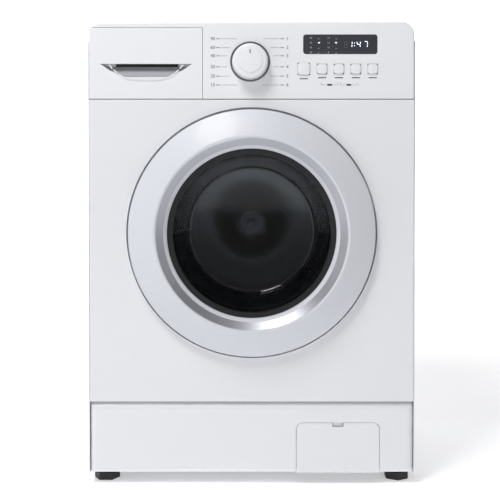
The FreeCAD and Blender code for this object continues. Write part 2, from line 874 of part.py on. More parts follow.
# --------------------------------------------------------------------------
# Door
# --------------------------------------------------------------------------
def make_door():
    """The porthole door: its two frames, the glass bowl, the hinge and the catch."""
    rim, crest, hole = s.rim_radius, s.crest_radius, s.window_radius
    wall, proud = s.ring_wall, s.door_proud
    swing = s.door_swing_gap
    door = Piece("door_frame")
    door.turn([(radius, front + y) for radius, y in (
        (rim, 3), (rim, -12), (crest + 2, -proud), (crest - 5, -proud), (hole, -19), (hole, -11.3),
        (hole + 10, -11.3), (hole + 10, -14.3), (hole + wall + 0.3, -14.3), (hole + wall + 0.3, -17.9),
        (crest - 3.8, wall - proud), (crest + 1, wall - proud), (rim - wall, -10.1), (rim - wall, 3))])
    door.pocket("XZ_Plane", front - 10, front + 4, box_of(-rim - 1, -swing, -hole - 12, swing))
    grip = s.grip_half
    door.pocket("XZ_Plane", front - 7, front + 4, box_of(rim - 20, -grip, rim + 1, grip))
    door.place(z=axis_z)
    node(door.body, "door_frame")
    inner = Piece("inner_frame_ring")
    inner.turn([(radius, front + y) for radius, y in (
        (rim - wall - 0.4, -1), (rim - wall - 0.4, 3), (hole + 3, 3), (hole + 3, 11), (hole - 2, 11),
        (hole - 2, -5.7), (hole + 11, -5.7), (hole + 11, -1))])
    inner.pocket("XZ_Plane", front - 2, front + 4, box_of(-rim, -swing, -s.hinge_offset + 27, swing))
    inner.pocket("XZ_Plane", front - 2, front + 4, box_of(rim - 22, -grip - 1, rim, grip + 1))
    hook = s.hook_offset
    inner.pocket("XZ_Plane", front - 2, front + 4, box_of(hook - 8, -6, hook + 6, 6))
    inner.place(z=axis_z)
    node(fuse("inner_frame_solid", inner.body, *catch_carrier(hook)), "door_inner_frame")
    bowl, depth, glass = s.bowl_radius, s.bowl_depth, s.glass_wall
    window = ring("door_glass", [
        (0, depth), (bowl - 6, depth), (bowl + 2, depth - 3), (bowl + 6, depth - 9), (hole - 7, -6),
        (hole + 9, -6), (hole + 9, -11), (hole - 12, -11), (bowl + 1, depth - 11),
        (bowl - 2, depth - 3 - glass + 1), (bowl - 7, depth - glass), (0, depth - glass)])
    node(window.body, "door_glass")
    make_grip(rim, grip)
    make_hinge()
    make_hook(hook)


def make_grip(rim, grip):
    """The lining of the finger recess at the door's edge."""
    lining = Piece("door_grip")
    lining.turn([(rim - 4, front - 9.6), (rim - 4, front - 7.6), (rim - 22.8, front - 7.6),
                 (rim - 22.8, front - 1.2), (rim - 25, front - 1.2), (rim - 25, front - 9.6)])
    for low, high in ((-rim, -grip + 1), (grip - 1, rim)):
        lining.pocket("XZ_Plane", front - 10, front + 4, box_of(0, low, rim, high))
    lining.pocket("XZ_Plane", front - 10, front + 4, box_of(-rim, -rim, 150, rim))
    lining.place(z=axis_z)
    node(lining.body, "door_grip")


def make_hinge():
    """The hinge: a bracket with two knuckles on the panel and a leaf with one on the door."""
    x, y = -s.hinge_offset, front - s.hinge_forward
    knuckle, pin, leaf = s.hinge_knuckle, s.hinge_pin_radius, 17
    arms = []
    for side in SIDES:
        name = "low" if side < 0 else "high"
        near, far = sorted((axis_z + side * (leaf + 0.5), axis_z + side * s.hinge_leaf_half), key=lambda v: v.value)
        arms.append(rod(f"knuckle_{name}", "z", knuckle, near, far, x, y))
        arms.append(block(f"arm_{name}", x, x + 24, y - 3, y + 3, near, far))
        arms.append(block(f"leg_{name}", x + 18, x + 24, y - 3, seat_floor, near, far))
    arms.append(block("hinge_foot", x + 14, x + 28, seat_floor - 2, seat_floor,
                      axis_z - s.hinge_leaf_half, axis_z + s.hinge_leaf_half))
    arms.append(rod("hinge_pin", "z", pin, axis_z - s.hinge_leaf_half, axis_z + s.hinge_leaf_half, x, y))
    node(fuse("door_hinge_bracket", *arms), "door_hinge_bracket")
    low, high = axis_z - leaf, axis_z + leaf
    barrel = rod("leaf_barrel", "z", knuckle, low, high, x, y)
    plate = block("leaf_plate", x, x + 36, y - 3, y + 3, low, high)
    step = block("leaf_step", x + 30, x + 36, y, front - 1, low, high)
    bore = rod("leaf_bore", "z", pin + s.running_gap, low - 1, high + 1, x, y)
    node(cut("door_hinge_leaf", fuse("leaf_solid", barrel, plate, step), bore), "door_hinge_leaf")


def catch_carrier(hook):
    """The two cheeks and the pin on the inner frame that the catch turns on."""
    pin = rod("hook_pin_rod", "z", 1.5, axis_z - 8, axis_z + 8, hook, front - 6)
    cheeks = [block(f"hook_cheek_{n}", hook - 4, hook + 4, front - 9, front - 1, axis_z + low, axis_z + low + 3)
              for n, low in enumerate((-8, 5))]
    return [pin, *cheeks]


def make_hook(hook):
    """The sprung catch on the door, and the lock that it enters."""
    stem = block("hook_stem", hook - 3, hook + 3, front - 8, front + 32, axis_z - 4, axis_z + 4)
    nose = block("hook_nose", hook + 3, hook + 8, front + 24, front + 32, axis_z - 4, axis_z + 4)
    eye = rod("hook_eye", "z", 4, axis_z - 4, axis_z + 4, hook, front - 6)
    bore = rod("hook_bore", "z", 1.5 + s.running_gap, axis_z - 5, axis_z + 5, hook, front - 6)
    node(cut("latch_hook", fuse("hook_solid", stem, nose, eye), bore), "latch_hook")
    start = seat_floor + s.sheet_steel + 0.3
    case = block("lock_case", hook - 14, hook + 22, start, start + 34, axis_z - 40, axis_z + 40)
    room = block("lock_room", hook - 9, hook + 16, start - 1, start + 28, axis_z - 9, axis_z + 9)
    node(cut("door_lock", case, room), "door_lock")


def make_gasket():
    """The door gasket between the panel's mouth and the tub's collar."""
    mouth = s.mouth_radius
    made = ring("door_gasket", [
        (mouth - 0.3, 11), (mouth - 0.3, 27), (mouth + 10, 35), (mouth, 44), (mouth + 10, 53),
        (mouth - 6, 60), (mouth - 6, 69.7), (mouth - 9.7, 69.7), (mouth - 9.7, 57.5), (mouth + 2, 52),
        (mouth - 6, 44), (mouth + 3, 35), (mouth - 4.5, 29), (mouth - 4.5, 23), (mouth - 19, 25),
        (mouth - 20, 21), (mouth - 4.5, 17), (mouth - 4.5, 11)])
    node(made.body, "door_gasket")


# --------------------------------------------------------------------------
# Suspended group: tub, counterweights, heater, motor, belt, springs and dampers
# --------------------------------------------------------------------------
def make_tub():
    """The two halves of the tub, joined by their flanges."""
    r, wall = s.tub_radius, s.tub_wall
    face, joint, rear = s.tub_front_plane, s.tub_joint_plane, s.tub_back_plane
    collar = s.mouth_radius - 10
    front_half = ring("tub_front_half", [
        (r, joint - 4), (r + 8, joint - 4), (r + 8, joint), (r - wall, joint), (r - wall, face + wall),
        (collar - wall, face + wall), (collar - wall, face - 10), (collar, face - 10), (collar, face), (r, face)])
    node(front_half.body, "tub_front")
    outlet_x, outlet_y = sump_place()
    rear_half = ring("tub_rear_half", [
        (r + 8, joint + 0.1), (r + 8, joint + 4), (r, joint + 4), (r, rear), (44, rear),
        (44, rear + s.tub_hub_length), (s.rear_bearing_radius, rear + s.tub_hub_length),
        (s.rear_bearing_radius, rear + 12), (s.front_bearing_radius, rear + 12),
        (s.front_bearing_radius, rear - 14), (42, rear - 14), (42, rear - wall), (r - wall, rear - wall),
        (r - wall, joint + 0.1)])
    low = 20 - r
    rear_half.pocket("XZ_Plane", front + rear - wall, front + rear, box_of(-26, low - 9, 26, low + 9))
    rear_half.pocket("XY_Plane", -r, 0, Disc(outlet_x, outlet_y, 14))
    half = s.spring_offset + 12
    lugs = []
    for n, side in enumerate(SIDES):
        edge = square_root(r * r - (s.spring_low - axis_z) * (s.spring_low - axis_z))
        near, far = sorted((side * (edge - 2), side * half), key=lambda v: v.value)
        middle = front + s.spring_plane
        lugs.append(block(f"tub_lug_{n}", near, far, middle - 10, middle + 10, s.spring_low - 6, s.spring_low - 1))
    bore = rod("tub_bore", "y", r - wall, front + joint, front + rear - wall, 0, axis_z)
    trimmed = [cut(f"tub_lug_trimmed_{n}", lug, bore) for n, lug in enumerate(lugs)]
    node(fuse("tub_rear", rear_half.body, *trimmed), "tub_rear")
    make_counterweights(collar)
    make_heater(low)
    make_bearings()


def sump_place():
    """Where the tub's outlet is, as (x, y)."""
    return size(60), front + 254


def make_counterweights(collar):
    """The upper and lower counterweights in front of the tub."""
    blank = ring("counterweight_blank", [(246, 38), (246, 69.7), (collar + 34, 69.7), (collar + 34, 38)])
    halves = []
    for name, low, high in (("upper", 70, 240), ("lower", -246, -70)):
        area = block(f"weight_{name}_area", -250, 250, front, front + 100, axis_z + low, axis_z + high)
        halves.append(common(f"weight_{name}", blank.body, area))
    node(group("counterweights", *halves), "counterweights")


def make_heater(low):
    """The water heater, low in the tub, with its plug in the back of the tub."""
    rear = front + s.tub_back_plane
    height = axis_z + low - 4
    plug = block("heater_plug", -25.7, 25.7, rear - 6, rear + 6, height - 4.7, height + 12.7)
    rods = [rod(f"heater_rod_{n}", "y", 3.5, rear - 180, rear - 5, x, height) for n, x in enumerate((-14, 14))]
    bridge = block("heater_bridge", -17.5, 17.5, rear - 187, rear - 180, height - 3.5, height + 3.5)
    node(fuse("heater", plug, bridge, *rods), "heater")


def make_bearings():
    """The two bearings of the drum's shaft."""
    rear = s.tub_back_plane
    bore = s.shaft_radius + s.running_gap
    first = ring("front_bearing", [(bore, rear - 4), (s.front_bearing_radius, rear - 4),
                                   (s.front_bearing_radius, rear + 12), (bore, rear + 12)])
    second = ring("rear_bearing", [(bore, rear + 20), (s.rear_bearing_radius, rear + 20),
                                   (s.rear_bearing_radius, rear + 36), (bore, rear + 36)])
    node(group("drum_bearings", first.body, second.body), "drum_bearings")


def make_drive():
    """The motor below the tub, the belt, and the motor's pulley."""
    plane, width = front + s.pulley_plane, s.belt_width
    end = plane - 21
    start = end - s.motor_length
    body = rod("motor_body", "y", s.motor_radius, start, end, 0, s.motor_height)
    lug_low = s.motor_height + s.motor_radius - 4
    lugs = [block(f"motor_lug_{n}", -16, 16, y, y + 12, lug_low, axis_z - s.tub_radius)
            for n, y in enumerate((start + 4, start + 80))]
    bore = rod("motor_bore", "y", 5 + s.running_gap, end - 25, end + 1, 0, s.motor_height)
    node(cut("drive_motor", fuse("motor_solid", body, *lugs), bore), "drive_motor")
    wheel = rod("motor_wheel", "y", s.motor_pulley_radius, plane - 8, plane + 8, 0, s.motor_height)
    axle = rod("motor_axle", "y", 5, end - 24, plane - 8, 0, s.motor_height)
    node(fuse("motor_pulley", wheel, axle), "motor_pulley")
    gap, thick = s.panel_gap.value, s.belt_thickness.value
    centres = (axis_z.value, s.motor_height.value)
    radii = (s.pulley_radius.value, s.motor_pulley_radius.value)
    wires = [ring_wire([r + extra for r in radii], centres) for extra in (gap + thick, gap)]
    face = Part.Face(wires[0]).cut(Part.Face(wires[1]))
    belt = feature("drive_belt", face.extrude(Vector(0, width.value, 0)))
    bind(belt, "Placement.Base.y", plane - width / 2)
    node(belt, "drive_belt")


def make_suspension():
    """The springs that carry the tub and the dampers that steady it."""
    springs = []
    cylinders = []
    pistons = []
    for side in SIDES:
        name = "left" if side < 0 else "right"
        springs.append(make_spring(name, side * s.spring_offset, front + s.spring_plane))
        cylinder, piston = make_damper(name, side)
        cylinders.append(cylinder)
        pistons.append(piston)
    node(group("suspension_springs", *springs), "suspension_springs")
    node(group("damper_cylinders", *cylinders), "damper_cylinders")
    node(group("damper_rods", *pistons), "damper_rods")


def make_spring(name, x, y):
    """One coil spring between its two end caps."""
    low, high, wire = s.spring_low, spring_high, s.spring_wire
    cap_radius = s.spring_radius + 2
    lower = rod(f"spring_cap_low_{name}", "z", cap_radius, low - 1, low + 5, x, y)
    upper = rod(f"spring_cap_high_{name}", "z", cap_radius, high - 6, high, x, y)
    pitch = wire.value * 4
    rise = (high - low).value - 10 - 2 * wire.value
    helix = Part.makeHelix(pitch, rise, s.spring_radius.value - wire.value)
    start = Vector(s.spring_radius.value - wire.value, 0, 0)
    circle = Part.Wire([Part.Circle(start, Vector(0, 1, 0), wire.value).toShape()])
    coil = feature(f"coil_{name}", Part.Wire(helix).makePipeShell([circle], True, True))
    for axis, value in zip("xyz", (x, y, low + 5 + wire)):
        bind(coil, f"Placement.Base.{axis}", value)
    return group(f"spring_{name}", lower, upper, coil)


def make_damper(name, side):
    """One damper: the cylinder on the base and the piston rod on the tub."""
    y = (front + s.damper_plane).value
    low = Vector((side * s.damper_low_offset).value, y, s.damper_low_height.value)
    high = Vector((side * s.damper_high_offset).value, y, s.damper_high_height.value)
    way = (high - low).normalize()
    length = low.distanceToPoint(high)
    radius, eye = s.damper_radius.value, s.damper_eye.value
    tube = Part.makeCylinder(radius, length * 0.56, low + way * (eye - 2), way)
    hollow = Part.makeCylinder(radius - 2.5, length * 0.56, low + way * (eye + 6), way)
    tube = tube.cut(hollow)
    ear = Part.makeCylinder(eye, 2 * radius - 4, low - Vector(0, radius - 2, 0), Vector(0, 1, 0))
    foot = Part.makeBox(12, 20, low.z - base_bottom.value - s.plastic_wall.value,
                        Vector(low.x - 6, y - 10, base_bottom.value + s.plastic_wall.value))
    cylinder = feature(f"damper_cylinder_{name}", tube.fuse([ear, foot]).removeSplitter())
    shaft = Part.makeCylinder(4, length * 0.66 - eye + 8, high - way * (length * 0.66), way)
    piston = Part.makeCylinder(radius - 2.55, 12, high - way * (length * 0.66), way)
    top_eye = Part.makeCylinder(eye - 2, 16, high - Vector(0, 8, 0), Vector(0, 1, 0))
    rod_shape = shaft.fuse([piston, top_eye]).removeSplitter()
    return cylinder, feature(f"damper_rod_{name}", rod_shape)


# --------------------------------------------------------------------------
# Drum
# --------------------------------------------------------------------------
LIFTER_TURNS = (0, 120, 240)


def turned_loop(points, angle):
    """A loop of (x, z) points turned about the drum axis."""
    cos, sin = math.cos(math.radians(angle)), math.sin(math.radians(angle))
    return [(size(x) * cos - size(z) * sin, size(x) * sin + size(z) * cos) for x, z in points]


def make_drum():
    """The drum: its shell, its back, three lifters, the spider with the shaft, and the pulley."""
    r, wall, mouth = s.drum_radius, s.drum_wall, s.drum_mouth_radius
    near, far = s.drum_front_plane, s.drum_back_plane
    shell = ring("drum_shell", [
        (mouth, near), (r, near), (r, far), (r - wall, far), (r - wall, near + wall),
        (mouth + 3, near + wall), (mouth + 3, near + 6), (mouth, near + 6)])
    node(shell.body, "drum_shell")
    plate = ring("drum_back", [(0, far - 4), (34, far - 4), (38, far - 2), (r - wall - 0.1, far - 2),
                               (r - wall - 0.1, far - 0.5), (0, far - 0.5)])
    node(plate.body, "drum_back")
    inside = r - wall
    crown = inside - s.lifter_height
    foot = square_root(inside * inside - 38 * 38) - 0.3
    lifters = []
    for n, angle in enumerate(LIFTER_TURNS):
        lifter = Piece(f"lifter_{n}")
        lifter.pad("XZ_Plane", front + near + 26, front + far - 8, turned_loop(
            [(-38, -foot), (-30, -foot + 8), (-14, -crown - 4), (-8, -crown), (8, -crown),
             (14, -crown - 4), (30, -foot + 8), (38, -foot)], angle))
        lifter.place(z=axis_z)
        lifters.append(lifter.body)
    node(group("drum_lifters", *lifters), "drum_lifters")
    make_spider(far, r)
    pulley = ring("drum_pulley_blank", [
        (s.shaft_radius, s.pulley_plane - 10), (26, s.pulley_plane - 10), (30, s.pulley_plane - 3),
        (s.pulley_radius - 12, s.pulley_plane - 3), (s.pulley_radius - 8, s.pulley_plane - 8),
        (s.pulley_radius, s.pulley_plane - 8), (s.pulley_radius, s.pulley_plane + 8),
        (s.pulley_radius - 8, s.pulley_plane + 8), (s.pulley_radius - 12, s.pulley_plane + 3),
        (30, s.pulley_plane + 3), (26, s.pulley_plane + 6), (s.shaft_radius, s.pulley_plane + 6)])
    reach = (s.pulley_radius + 18) / 2
    holes = [Disc(reach * math.cos(math.radians(a)), reach * math.sin(math.radians(a)), 34)
             for a in range(30, 390, 60)]
    pulley.pocket("XZ_Plane", front + s.pulley_plane - 9, front + s.pulley_plane + 9, *holes)
    node(pulley.body, "drum_pulley")


def make_spider(far, radius):
    """The three-armed spider that carries the drum on its shaft."""
    start = front + far
    hub = rod("spider_hub", "y", 28, start, start + 12, 0, axis_z)
    shaft = rod("spider_shaft", "y", s.shaft_radius, start + 6, front + s.pulley_plane + 12, 0, axis_z)
    arms = []
    for n, angle in enumerate((90, 210, 330)):
        arm = Piece(f"spider_arm_{n}")
        arm.pad("XZ_Plane", start, start + 8, turned_loop(
            [(0, -20), (radius - 6, -13), (radius - 6, 13), (0, 20)], angle))
        arm.place(z=axis_z)
        arms.append(arm.body)
    bolt = hex_bolt(front + s.pulley_plane + 12)
    node(fuse("drum_spider", hub, shaft, bolt, *arms), "drum_spider")


def hex_bolt(y):
    """The bolt head that holds the pulley on the shaft."""
    return rod("pulley_bolt", "y", 9, y - 1, y + 5, 0, axis_z)


# --------------------------------------------------------------------------
# Water: valve, hoses, pump, filter and flap
# --------------------------------------------------------------------------
def make_water():
    """The inlet valve, the hoses, the drain pump with its filter, and the flap in front of it."""
    x, z = -s.inlet_offset, inlet_height
    wall = s.sheet_steel
    thread = rod("valve_thread", "y", s.inlet_thread_radius, back - wall - 1, rear_end, x, z)
    body = block("valve_body", x - 20, x + 20, back - wall - 40, back - wall, z - 20, z + 20)
    bore = rod("valve_bore", "y", 8, rear_end - 15, rear_end + 1, x, z)
    coil = rod("valve_coil", "z", 14, z + 20, z + 34, x, back - 24)
    node(cut("inlet_valve", fuse("valve_solid", thread, body, coil), bore), "inlet_valve")
    housing_end = front + s.drawer_face_depth + s.tray_depth + 14
    outer = rod("inlet_hose_outer", "y", 8, housing_end, back - wall - 40, x, z)
    inner = rod("inlet_hose_inner", "y", 5.5, housing_end - 1, back - wall - 39, x, z)
    node(cut("inlet_hose", outer, inner), "inlet_hose")
    make_dispenser_hose()
    make_pump()
    make_flap()


def make_dispenser_hose():
    """The bellows hose from the dispenser down to the tub."""
    x, y = housing_outlet()
    high = fascia_bottom + 7 - 0.6 - 2.5
    reach = -x - 15
    low = axis_z + square_root(s.tub_radius * s.tub_radius - reach * reach) + 8
    outer = rod("hose_outer", "z", 15, low, high, x, y)
    inner = rod("hose_inner", "z", 12.5, low - 1, high + 1, x, y)
    foot = rod("hose_foot", "z", 15, low - 70, low, x, y)
    tub_space = rod("hose_tub_space", "y", s.tub_radius + 0.2, front, back, 0, axis_z)
    spout = cut("hose_spout", foot, tub_space, rod("hose_spout_bore", "z", 12.5, low - 71, low + 1, x, y))
    node(fuse("dispenser_hose", cut("hose_tube", outer, inner), spout), "dispenser_hose")


def make_pump():
    """The drain pump with its filter, the sump hose, and the drain hose up to the back."""
    x, z = s.flap_offset, s.filter_height
    start, end = front + 30, front + 120
    r = s.filter_radius
    case = rod("pump_case", "y", r + 4, start, end, x, z)
    motor = rod("pump_motor", "y", r - 4, end, end + 62, x, z)
    floor = base_bottom + s.plastic_wall
    stands = [block(f"pump_stand_{n}", x - 22, x + 22, y, y + 10, floor, z - r + 6)
              for n, y in enumerate((start + 8, end - 14))]
    spigot = rod("pump_spigot", "x", 9, x + r, x + r + 16, front + 100, z)
    inlet = rod("pump_inlet", "z", 14, z + r - 8, z + r + 14, x, front + 80)
    bore = rod("pump_bore", "y", r + 0.3, start - 1, end - 4, x, z)
    node(cut("drain_pump", fuse("pump_solid", case, motor, spigot, inlet, *stands), bore), "drain_pump")
    cap = rod("filter_cap", "y", r + 3, start - 8, start - 0.5, x, z)
    basket = rod("filter_basket", "y", r - 4, start - 0.5, end - 20, x, z)
    room = rod("filter_room", "y", r - 7, start + 4, end - 24, x, z)
    grip = block("filter_grip", x - 24, x + 24, start - 17, start - 8, z - 3.5, z + 3.5)
    seal = rod("filter_seal", "y", r, start - 0.5, start + 12, x, z)
    node(cut("pump_filter", fuse("filter_solid", cap, basket, grip, seal), room), "pump_filter")
    make_hoses(x, z, r)


def make_hoses(x, z, r):
    """The sump hose from the tub to the pump, and the drain hose from the pump to the back."""
    sump_x, sump_y = sump_place()
    nearest = sump_x - 16
    edge = axis_z - square_root(s.tub_radius * s.tub_radius - nearest * nearest)
    run = [Vector(sump_x.value, sump_y.value, edge.value - 0.5), Vector(sump_x.value, sump_y.value, 140),
           Vector(x.value, (front + 80).value, 150), Vector(x.value, (front + 80).value, (z + r + 14).value)]
    outer, inner = (swept_tube(bent_path(run, 26), radius) for radius in (16, 13))
    node(feature("sump_hose", outer.cut(inner)), "sump_hose")
    side = s.drain_offset.value
    height = drain_height.value
    y = (front + 100).value
    begin = (x + r + 16).value
    run = [Vector(begin, y, z.value), Vector(side, y, z.value), Vector(side, y, height),
           Vector(side, (back - s.sheet_steel - 12).value, height)]
    outer, inner = (swept_tube(bent_path(run, 40), radius) for radius in (s.drain_spigot_radius.value, 6.5))
    node(feature("drain_hose", outer.cut(inner)), "drain_hose")
    start = back - s.sheet_steel - 12
    spigot = rod("outlet_tube", "y", s.drain_spigot_radius, start, rear_end, s.drain_offset, drain_height)
    collar = rod("outlet_collar", "y", 14, back - s.sheet_steel - 3, back - s.sheet_steel,
                 s.drain_offset, drain_height)
    bore = rod("outlet_bore", "y", 6.5, start - 1, rear_end + 1, s.drain_offset, drain_height)
    node(cut("drain_outlet", fuse("outlet_solid", spigot, collar), bore), "drain_outlet")


def make_flap():
    """The filter flap, which tips forward about its lower edge."""
    half = s.flap_width / 2
    low, high = s.underside_height, s.flap_top
    flap = Piece("flap_plate")
    flap.pad("XZ_Plane", front, front + 9, box_of(s.flap_offset - half, low, s.flap_offset + half, high))
    flap.round(s.flap_round - s.flap_gap, both(along("y"), above("z", high - 1)))
    flap.round(6, lambda b: on_plane("y", front)(b) and on_plane("z", low)(b))
    flap.pocket("XZ_Plane", front + s.plastic_wall, front + 9,
                box_of(s.flap_offset - half + 12, low + 14, s.flap_offset + half - 12, high - 12))
    flap.pocket("XZ_Plane", front, front + s.plastic_wall, box_of(s.flap_offset - 10, high - 7, s.flap_offset + 10, high))
    pins = [rod(f"flap_pin_{n}", "x", 2.5, low_x, low_x + 5, front + s.flap_hinge_depth, s.flap_hinge_height)
            for n, low_x in enumerate((s.flap_offset - half - 4, s.flap_offset + half - 1))]
    node(fuse("flap_solid", flap.body, *pins), "filter_flap")


def check(item):
    """Stops the build if a sub-part is in error, empty or not valid."""
    if "Invalid" in item.State or "Error" in item.State:
        raise ValueError(f"{item.Label}: {item.State}")
    if item.Shape.isNull() or not item.Shape.isValid() or not item.Shape.Solids:
        raise ValueError(f"{item.Label}: its shape is not valid")


def main():
    """Builds every sub-part, checks it and writes its file."""
    make_wrap()
    make_front_panel()
    make_top_cover()
    make_kick_panel()
    make_base()
    make_back_panel()
    make_fascia()
    make_display()
    make_knob()
    make_buttons()
    make_drawer()
    make_housing()
    make_door()
    make_gasket()
    make_tub()
    make_drive()
    make_suspension()
    make_drum()
    make_water()
    DOC.recompute()
    os.makedirs(OUTPUT_FOLDER, exist_ok=True)
    for item in NODES:
        check(item)
        item.Shape.exportStep(f"{OUTPUT_FOLDER}/{item.Label}.step")


main()
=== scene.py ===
"""Looks of a front-load washing machine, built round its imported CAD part.

Lengths are in metres in the CAD frame: +Z up, the front faces -Y and +X is to the viewer's right.
"""

import logging
import math
from dataclasses import dataclass, field
from enum import Enum
from typing import Callable, Iterable, Sequence

import bpy
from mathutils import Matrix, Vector


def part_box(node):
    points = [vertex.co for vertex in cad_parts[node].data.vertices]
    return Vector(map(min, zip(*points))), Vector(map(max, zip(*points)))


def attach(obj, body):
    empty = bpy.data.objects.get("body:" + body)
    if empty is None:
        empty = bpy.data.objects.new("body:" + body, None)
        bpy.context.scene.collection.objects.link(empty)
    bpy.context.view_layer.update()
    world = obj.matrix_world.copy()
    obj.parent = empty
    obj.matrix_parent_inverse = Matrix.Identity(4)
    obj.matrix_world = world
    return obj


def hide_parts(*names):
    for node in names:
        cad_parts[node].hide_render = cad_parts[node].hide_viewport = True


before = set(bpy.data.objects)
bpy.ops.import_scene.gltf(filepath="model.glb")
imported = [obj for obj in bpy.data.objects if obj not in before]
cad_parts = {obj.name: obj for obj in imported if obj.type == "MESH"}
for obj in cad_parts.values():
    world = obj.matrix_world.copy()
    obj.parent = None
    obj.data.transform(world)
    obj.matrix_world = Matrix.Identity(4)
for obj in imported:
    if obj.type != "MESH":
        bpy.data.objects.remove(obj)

log = logging.getLogger("washing_machine")

MM = 0.001
SMOOTH_ANGLE = math.radians(32)
SAME_PLACE = 1e-7
WELD_DISTANCE = 1e-6
PRINT_SINK = 0.05 * MM
Point2 = tuple[float, float]
Colour = tuple[float, float, float]

# Places that the pieces share, read from the frame.
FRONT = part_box("front_panel")[0].y
AXIS_Z = sum(corner.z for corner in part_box("drum_shell")) / 2
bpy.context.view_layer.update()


# --------------------------------------------------------------------------
# Finishes
# --------------------------------------------------------------------------
@dataclass(frozen=True)
class Finish:
    """One procedural surface.

    Args:
        slot: the record's material slot.
        colour: linear base colour.
        rough: mean roughness.
        metal: metallic amount.
        coat: clear coat weight.
        grain: height of the fine surface grain, in metres.
        grain_scale: grains per metre.
        sway: how far the roughness wanders from its mean.
        glow: emission strength.
        clear: transmission weight.
    """

    slot: str
    colour: Colour
    rough: float = 0.4
    metal: float = 0.0
    coat: float = 0.0
    grain: float = 0.00002
    grain_scale: float = 900.0
    sway: float = 0.04
    glow: float = 0.0
    clear: float = 0.0

    def build(self, name: str) -> bpy.types.Material:
        """Makes the material.

        Args:
            name: the material's name.

        Returns:
            The material, with its grain in object coordinates.
        """
        material = bpy.data.materials.new(name)
        material.use_nodes = True
        nodes, links = material.node_tree.nodes, material.node_tree.links
        shader = nodes["Principled BSDF"]
        shader.inputs["Base Color"].default_value = (*self.colour, 1)
        shader.inputs["Metallic"].default_value = self.metal
        shader.inputs["Coat Weight"].default_value = self.coat
        shader.inputs["Coat Roughness"].default_value = 0.08
        shader.inputs["Transmission Weight"].default_value = self.clear
        if self.glow:
            shader.inputs["Emission Color"].default_value = (*self.colour, 1)
            shader.inputs["Emission Strength"].default_value = self.glow
        place = nodes.new("ShaderNodeTexCoord")
        noise = nodes.new("ShaderNodeTexNoise")
        noise.inputs["Scale"].default_value = self.grain_scale
        noise.inputs["Detail"].default_value = 2
        links.new(place.outputs["Object"], noise.inputs["Vector"])
        spread = nodes.new("ShaderNodeMapRange")
        spread.inputs["To Min"].default_value = max(0.0, self.rough - self.sway)
        spread.inputs["To Max"].default_value = min(1.0, self.rough + self.sway)
        links.new(noise.outputs["Fac"], spread.inputs["Value"])
        links.new(spread.outputs["Result"], shader.inputs["Roughness"])
        if self.grain:
            bump = nodes.new("ShaderNodeBump")
            bump.inputs["Strength"].default_value = 0.25
            bump.inputs["Distance"].default_value = self.grain
            links.new(noise.outputs["Fac"], bump.inputs["Height"])
            links.new(bump.outputs["Normal"], shader.inputs["Normal"])
        return material


class Finishes(Enum):
    """The finishes of the machine's own pieces."""

    ENAMEL = Finish("white_enamel", (0.83, 0.84, 0.87), rough=0.30, coat=0.3)
    INNER = Finish("inner_steel", (0.42, 0.43, 0.46), rough=0.55)
    WHITE = Finish("white_plastic", (0.85, 0.86, 0.885), rough=0.34, coat=0.15)
    WARM = Finish("warm_plastic", (0.62, 0.63, 0.67), rough=0.45)
    # Partly painted shade: the cone is the ring's white plastic with a glossy metallic finish, its base colour
    # darkened to stand for the shade on the cone's top.
    CONE = Finish("white_plastic", (0.50, 0.51, 0.55), rough=0.36, metal=0.75, coat=0.1, grain=0.0)
    RING = Finish("white_plastic", (0.70, 0.715, 0.765), rough=0.48, coat=0.08)
    DARK = Finish("dark_plastic", (0.012, 0.012, 0.015), rough=0.35, grain=0.0)
    # Painted shade: this grey stands for the shade in the drawer handle's recess, whose surface is the drawer's
    # white plastic.
    SHADED_SCOOP = Finish("warm_plastic", (0.33, 0.34, 0.37), rough=0.5, grain=0.0)
    GREY = Finish("grey_plastic", (0.20, 0.21, 0.23), rough=0.5)
    KNOB_TRIM = Finish("knob_ring_grey", (0.10, 0.105, 0.125), rough=0.3, coat=0.3)
    WINDOW = Finish("window_grey", (0.047, 0.048, 0.058), rough=0.16, coat=0.5, grain=0.0)
    BOARD = Finish("board_green", (0.02, 0.09, 0.05), rough=0.5)
    # Partly painted shade: the glass's grey tint is darkened to stand for the shade inside the drum.
    GLASS = Finish("clear_glass", (0.34, 0.36, 0.38), rough=0.02, grain=0.0, sway=0.0, clear=1.0)
    STEEL = Finish("bright_steel", (0.42, 0.43, 0.45), rough=0.24, metal=1.0, grain=0.0, grain_scale=60, sway=0.02)
    ZINC = Finish("zinc", (0.48, 0.49, 0.51), rough=0.38, metal=1.0)
    RUBBER_GREY = Finish("grey_rubber", (0.085, 0.088, 0.095), rough=0.6, grain=0.0)
    RUBBER_BLACK = Finish("black_rubber", (0.014, 0.014, 0.017), rough=0.55, grain=0.00006)
    CONCRETE = Finish("concrete", (0.24, 0.235, 0.22), rough=0.85, grain=0.0008, grain_scale=160)
    ALLOY = Finish("cast_alloy", (0.45, 0.46, 0.48), rough=0.5, metal=1.0, grain=0.0002, grain_scale=300)
    BLUE = Finish("blue_plastic", (0.02, 0.09, 0.32), rough=0.4)
    PRINT = Finish("grey_plastic", (0.038, 0.04, 0.05), rough=0.5, grain=0.0)
    DIGIT = Finish("white_plastic", (0.82, 0.90, 1.0), rough=0.4, grain=0.0, glow=1.2)
    FAINT = Finish("white_plastic", (0.30, 0.33, 0.40), rough=0.4, grain=0.0, glow=0.35)


_made: dict[str, bpy.types.Material] = {}


def material_of(finish: Finishes) -> bpy.types.Material:
    """The one material of a finish.

    Args:
        finish: which finish.

    Returns:
        The material, made at its first use.
    """
    if finish.name not in _made:
        _made[finish.name] = finish.value.build(finish.name.lower())
    return _made[finish.name]


HOLE_COLOUR: Colour = (0.004, 0.004, 0.005)


